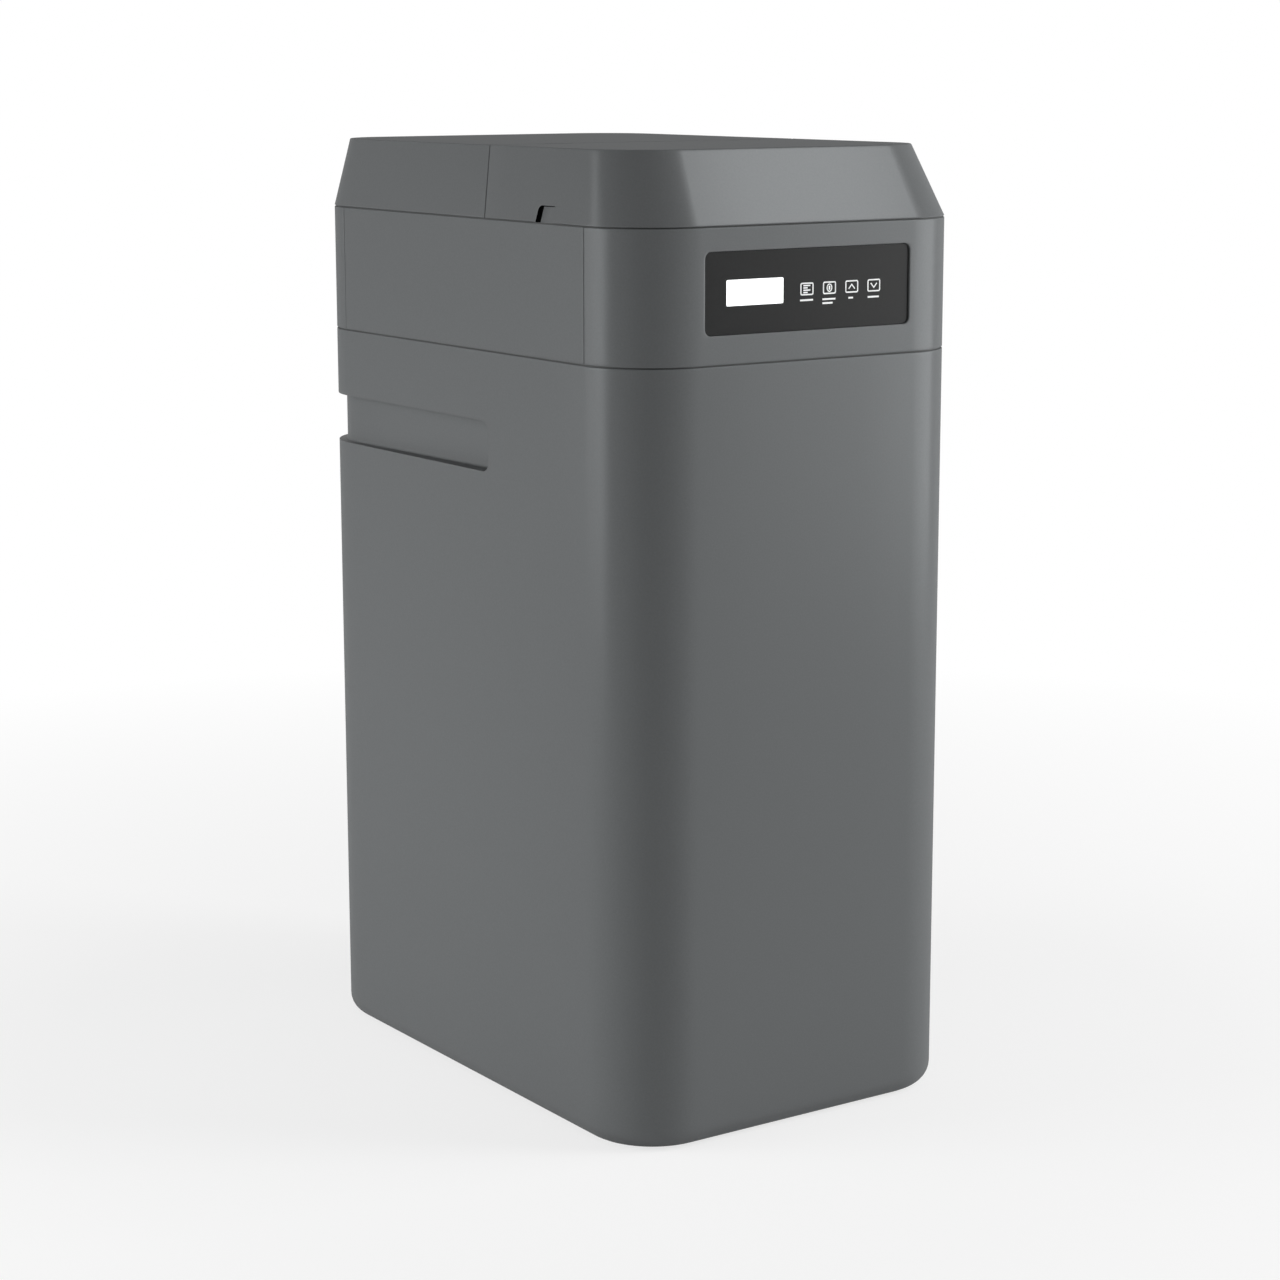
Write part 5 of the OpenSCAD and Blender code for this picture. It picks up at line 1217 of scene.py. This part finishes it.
@dataclass
class Plumbing:
    """The bypass behind the cabinet: threaded pipes, plug housings and their knobs."""

    pipe_x: float = 41.0
    pipe_z: float = 502.2
    pipe_r: float = 20.0
    pipe_edge: float = 1.2
    bore_r: float = 13.0
    bore_edge: float = 0.8
    start: float = 168.3
    shoulder: float = 282.0
    collar: tuple[float, float, float] = (8.0, 2.0, 1.5)
    thread_r: float = 16.62
    thread_deep: float = 1.48
    thread_fade: float = 3.0
    pitch: float = 2.309
    steps: int = 72
    plug_y: float = 258.0
    plug_r: float = 22.0
    plug_half: float = 26.0
    plug_edge: float = 1.5
    rib: tuple[float, float] = (4.0, 1.2)
    rib_edge: float = 0.8
    cross_r: float = 16.0
    disc_r: float = 21.0
    disc_t: float = 7.0
    disc_edge: float = 1.6
    stem: tuple[float, float, float] = (44.0, 16.8, 0.6)
    bar: tuple[float, float, float] = (9.0, 38.0, 13.0)
    bar_edge: tuple[float, float] = (1.8, 3.4)
    foot_gap: float = 0.2

    def pipe(self, x: float) -> np.ndarray:
        """A pipe turned about its axis, with a thread: a saw of the distance less the turn.

        Args:
            x: the pipe's place.

        Returns:
            Points of the pipe, as a closed section turned about the axis.
        """
        end = (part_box("bypass_body")[1] / MM)[1]
        along = np.arange(self.shoulder + 1.0, end - 1.2, self.pitch / 8)
        pipe, root, bore = self.pipe_r, self.thread_r - self.thread_deep, self.bore_r
        edge, soft = self.pipe_edge, 0.35
        outside = [[self.start, bore], [self.start, pipe - 1], [self.start + 1, pipe],
                   [self.shoulder - edge, pipe], [self.shoulder - soft, pipe - soft],
                   [self.shoulder, pipe - edge], [self.shoulder, root]]
        inside = [[end - 1.0, root], [end, root - 0.6], [end, bore + self.bore_edge],
                  [end - self.bore_edge, bore], [self.start, bore]]
        screw = np.stack([along, np.full(len(along), self.thread_r)], axis=-1)
        points = revolve(np.concatenate([outside, screw, inside]), (x, 0, self.pipe_z), "Y",
                         self.steps)
        turn = np.arange(self.steps) / self.steps
        phase = (along[:, None] / self.pitch - turn[None, :]) % 1.0
        depth = self.thread_deep * np.clip(np.abs(2 * phase - 1) * 1.4 - 0.2, 0, 1)
        fade = np.clip((end - 2.0 - along) / self.thread_fade, 0, 1)[:, None]
        radius = self.thread_r - np.maximum(depth, self.thread_deep * (1 - fade))
        thread = points[len(outside):len(outside) + len(along), :, ::2]
        middle = np.array([x, self.pipe_z])
        thread[:] = middle + (thread - middle) * radius[..., None] / self.thread_r
        return points

    def knob(self, name: str, x: float) -> None:
        """Builds one knob: a disc with a bar to grip and a stem in the plug housing.

        Args:
            name: the knob's CAD node and its body.
            x: its place.
        """
        foot = self.pipe_z + self.plug_half + self.foot_gap
        top = foot + self.disc_t
        stem_l, stem_r, stem_edge = self.stem
        w, length, tall = self.bar
        middle = (x, self.plug_y, 0)
        shell = Shell()
        add_drum(shell, (foot, top), self.disc_r, self.disc_edge, middle, "Z", self.steps)
        add_drum(shell, (foot - stem_l, foot + 1), stem_r, stem_edge, middle, "Z", 48)
        add_block(shell, (x - w / 2, self.plug_y - length / 2, top - 2),
                  (x + w / 2, self.plug_y + length / 2, top + tall), *self.bar_edge)
        shell.piece(name + "_grip", name, [KNOB], (name,))

    def build(self) -> None:
        """Builds the bypass and both knobs."""
        shell = Shell()
        rib_h, rib_out = self.rib
        collar_from, collar_to, collar_out = self.collar
        for x in (-self.pipe_x, self.pipe_x):
            plug = (x, self.plug_y, self.pipe_z)
            shell.grid(self.pipe(x), around=True)
            add_drum(shell, (-self.plug_half, self.plug_half), self.plug_r, self.plug_edge, plug,
                     "Z", self.steps)
            for z in (rib_h - self.plug_half, self.plug_half - 2 * rib_h):
                add_drum(shell, (z, z + rib_h), self.plug_r + rib_out, self.rib_edge, plug, "Z",
                         self.steps)
            add_drum(shell, (self.shoulder - collar_from, self.shoulder - collar_to),
                     self.pipe_r + collar_out, self.rib_edge, (x, 0, self.pipe_z), "Y", self.steps)
        add_drum(shell, (-self.pipe_x, self.pipe_x), self.cross_r, 1.0,
                 (0, self.plug_y, self.pipe_z), "X", 64)
        shell.piece("bypass_moulding", ROOT, [FITTING], ("bypass_body",))
        self.knob("inlet_knob", self.pipe_x)
        self.knob("outlet_knob", -self.pipe_x)


@dataclass(frozen=True)
class Lamp:
    """A square soft lamp, in metres, that faces a point on the object.

    Its level is the light on a white face turned to it, where 1 shows as white, and its spread is
    the whole angle of its beam in degrees.
    """

    name: str
    way: tuple[float, float, float]
    distance: float
    size: float
    level: float
    aim: tuple[float, float, float] = (0.0, 0.0, 0.42)
    spread: float = 180.0

    def hang(self) -> None:
        """Hangs the lamp at its distance from its aim, turned to face it."""
        data = bpy.data.lights.new(self.name, "AREA")
        data.size = self.size
        data.energy = self.level * math.pi ** 2 * self.distance ** 2
        data.spread = math.radians(self.spread)
        made = bpy.data.objects.new(self.name, data)
        bpy.context.scene.collection.objects.link(made)
        turn = Vector(self.way).to_track_quat("Z", "Y").to_matrix().to_4x4()
        spot = Vector(self.aim) + Vector(self.way).normalized() * self.distance
        made.matrix_world = Matrix.Translation(spot) @ turn


@dataclass
class Studio:
    """Pale floor, white surround, soft lamps and the camera at the photograph's place."""

    focal_px: float = 2959.964
    frame_px: float = 1280.0
    sensor: float = 36.0
    camera_mm: tuple[float, float, float] = (-1339.77, -1972.997, 812.614)
    yaw: float = 34.396
    pitch: float = 11.126
    roll: float = -0.079
    world_level: float = 0.26
    floor_half: float = 6.0
    floor_lines: int = 9
    shadow_span: tuple[float, float] = (0.5, 1.6)
    shadow_white: float = 0.72
    lamps: tuple[Lamp, ...] = (
        Lamp("left_rear_lamp", (-0.86, 0.50, 0.0), 2.8, 2.0, 0.48),
        Lamp("left_edge_lamp", (-0.764, 0.543, 0.344), 2.8, 0.7, 0.1, (-0.13, -0.2, 0.72)),
        Lamp("left_low_lamp", (-1.4, 0.4, 0.5), 1.5, 0.8, 0.07, (-0.2, 0.05, 0.0), 70.0),
        Lamp("right_front_lamp", (0.83, -0.54, 0.06), 2.8, 2.0, 1.0),
        Lamp("high_front_lamp", (0.608, -0.474, 0.638), 2.8, 0.65, 0.26, (0.0, -0.22, 0.72)))

    def camera(self) -> None:
        """Places the camera by its yaw, pitch and roll, with the lens of its focal length."""
        data = bpy.data.cameras.new("photo_camera")
        data.sensor_width = self.sensor
        data.sensor_fit = "HORIZONTAL"
        data.lens = self.focal_px / self.frame_px * self.sensor
        data.clip_end = 100.0
        made = bpy.data.objects.new("photo_camera", data)
        bpy.context.scene.collection.objects.link(made)
        turn = (Matrix.Rotation(math.radians(-self.yaw), 4, "Z")
                @ Matrix.Rotation(math.radians(90 - self.pitch), 4, "X")
                @ Matrix.Rotation(math.radians(self.roll), 4, "Z"))
        made.matrix_world = Matrix.Translation(Vector(self.camera_mm) * MM) @ turn
        bpy.context.scene.camera = made

    def seen(self, tree: bpy.types.NodeTree) -> bpy.types.NodeSocket:
        """Gives 1 to camera, glossy and transmission rays, which see the white surround.

        Args:
            tree: the node tree.

        Returns:
            A socket of 1 for those rays and 0 for others.
        """
        rays = add(tree, "ShaderNodeLightPath").outputs
        share = rays["Is Camera Ray"]
        for kind in ("Is Glossy Ray", "Is Transmission Ray"):
            share = add(tree, "ShaderNodeMath", {"operation": "MAXIMUM"},
                        {0: share, 1: rays[kind]}).outputs["Value"]
        return share

    def surround(self) -> None:
        """Sets a world that looks white and lights the object at a plain level."""
        world = bpy.data.worlds.new("white_surround")
        world.use_nodes = True
        tree = world.node_tree
        tree.nodes.clear()
        shed, shown = (add(tree, "ShaderNodeBackground", {"Color": (1, 1, 1, 1), "Strength": k})
                       for k in (self.world_level, 1.0))
        mix = add(tree, "ShaderNodeMixShader", None,
                  {"Fac": self.seen(tree), 1: shed.outputs[0], 2: shown.outputs[0]})
        add(tree, "ShaderNodeOutputWorld", None, {"Surface": mix.outputs[0]})
        bpy.context.scene.world = world

    def paper(self) -> bpy.types.Material:
        """Makes the floor's paper: white to the eye, but for some shadow near the object.

        Returns:
            The material.
        """
        made = bpy.data.materials.new("white_studio_paper")
        made.use_nodes = True
        tree = made.node_tree
        tree.nodes.clear()
        lit = add(tree, "ShaderNodeBsdfDiffuse", {"Color": linear("#f4f4f4")})
        shown = add(tree, "ShaderNodeEmission", {"Color": (1, 1, 1, 1), "Strength": 1.0})
        place = add(tree, "ShaderNodeTexCoord").outputs["Object"]
        far = add(tree, "ShaderNodeVectorMath", {"operation": "LENGTH"}, {0: place})
        near, clear = self.shadow_span
        fade = add(tree, "ShaderNodeMapRange",
                   {"From Min": near, "From Max": clear, "To Min": self.shadow_white,
                    "To Max": 1.0}, {"Value": far.outputs["Value"]})
        share = add(tree, "ShaderNodeMath", {"operation": "MULTIPLY"},
                    {0: fade.outputs["Result"], 1: self.seen(tree)})
        mix = add(tree, "ShaderNodeMixShader", None,
                  {"Fac": share.outputs["Value"], 1: lit.outputs[0], 2: shown.outputs[0]})
        add(tree, "ShaderNodeOutputMaterial", None, {"Surface": mix.outputs[0]})
        return made

    def floor(self) -> None:
        """Lays a flat square grid of the paper under the object."""
        side = np.linspace(-self.floor_half, self.floor_half, self.floor_lines)
        x, y = np.meshgrid(side, side)
        points = np.stack([x, y, np.zeros_like(x)], axis=-1).reshape(-1, 3)
        index = np.arange(x.size).reshape(x.shape)
        quads = np.stack([index[:-1, :-1], index[:-1, 1:], index[1:, 1:], index[1:, :-1]], axis=-1)
        mesh = bpy.data.meshes.new("studio_floor")
        mesh.from_pydata(points.tolist(), [], quads.reshape(-1, 4).tolist())
        mesh.materials.append(self.paper())
        made = bpy.data.objects.new("studio_floor", mesh)
        bpy.context.scene.collection.objects.link(made)

    def build(self) -> None:
        """Sets the stage."""
        bpy.context.scene.view_settings.view_transform = "Standard"
        self.camera()
        self.surround()
        self.floor()
        for lamp in self.lamps:
            lamp.hang()


def dress_nodes() -> None:
    """Gives each CAD node the finish of its material slot in the record."""
    slots = {part["node"]: part["material_slot"] for part in frame["record"]["subparts"]}
    for name, made in frame["nodes"].items():
        finish = SLOT_FINISH[slots[name]]
        for place in made.material_slots:
            place.material = finish.material()
        LOG.info("%s: %s", name, finish.name)


def main() -> None:
    """Builds the stage and every piece."""
    logging.basicConfig(level=logging.INFO, format="%(message)s")
    Studio().build()
    dress_nodes()
    Cabinet().build()
    Band().build()
    Lid().build()
    ControlPanel().build()
    Plumbing().build()


if __name__ == "__main__":
    main()
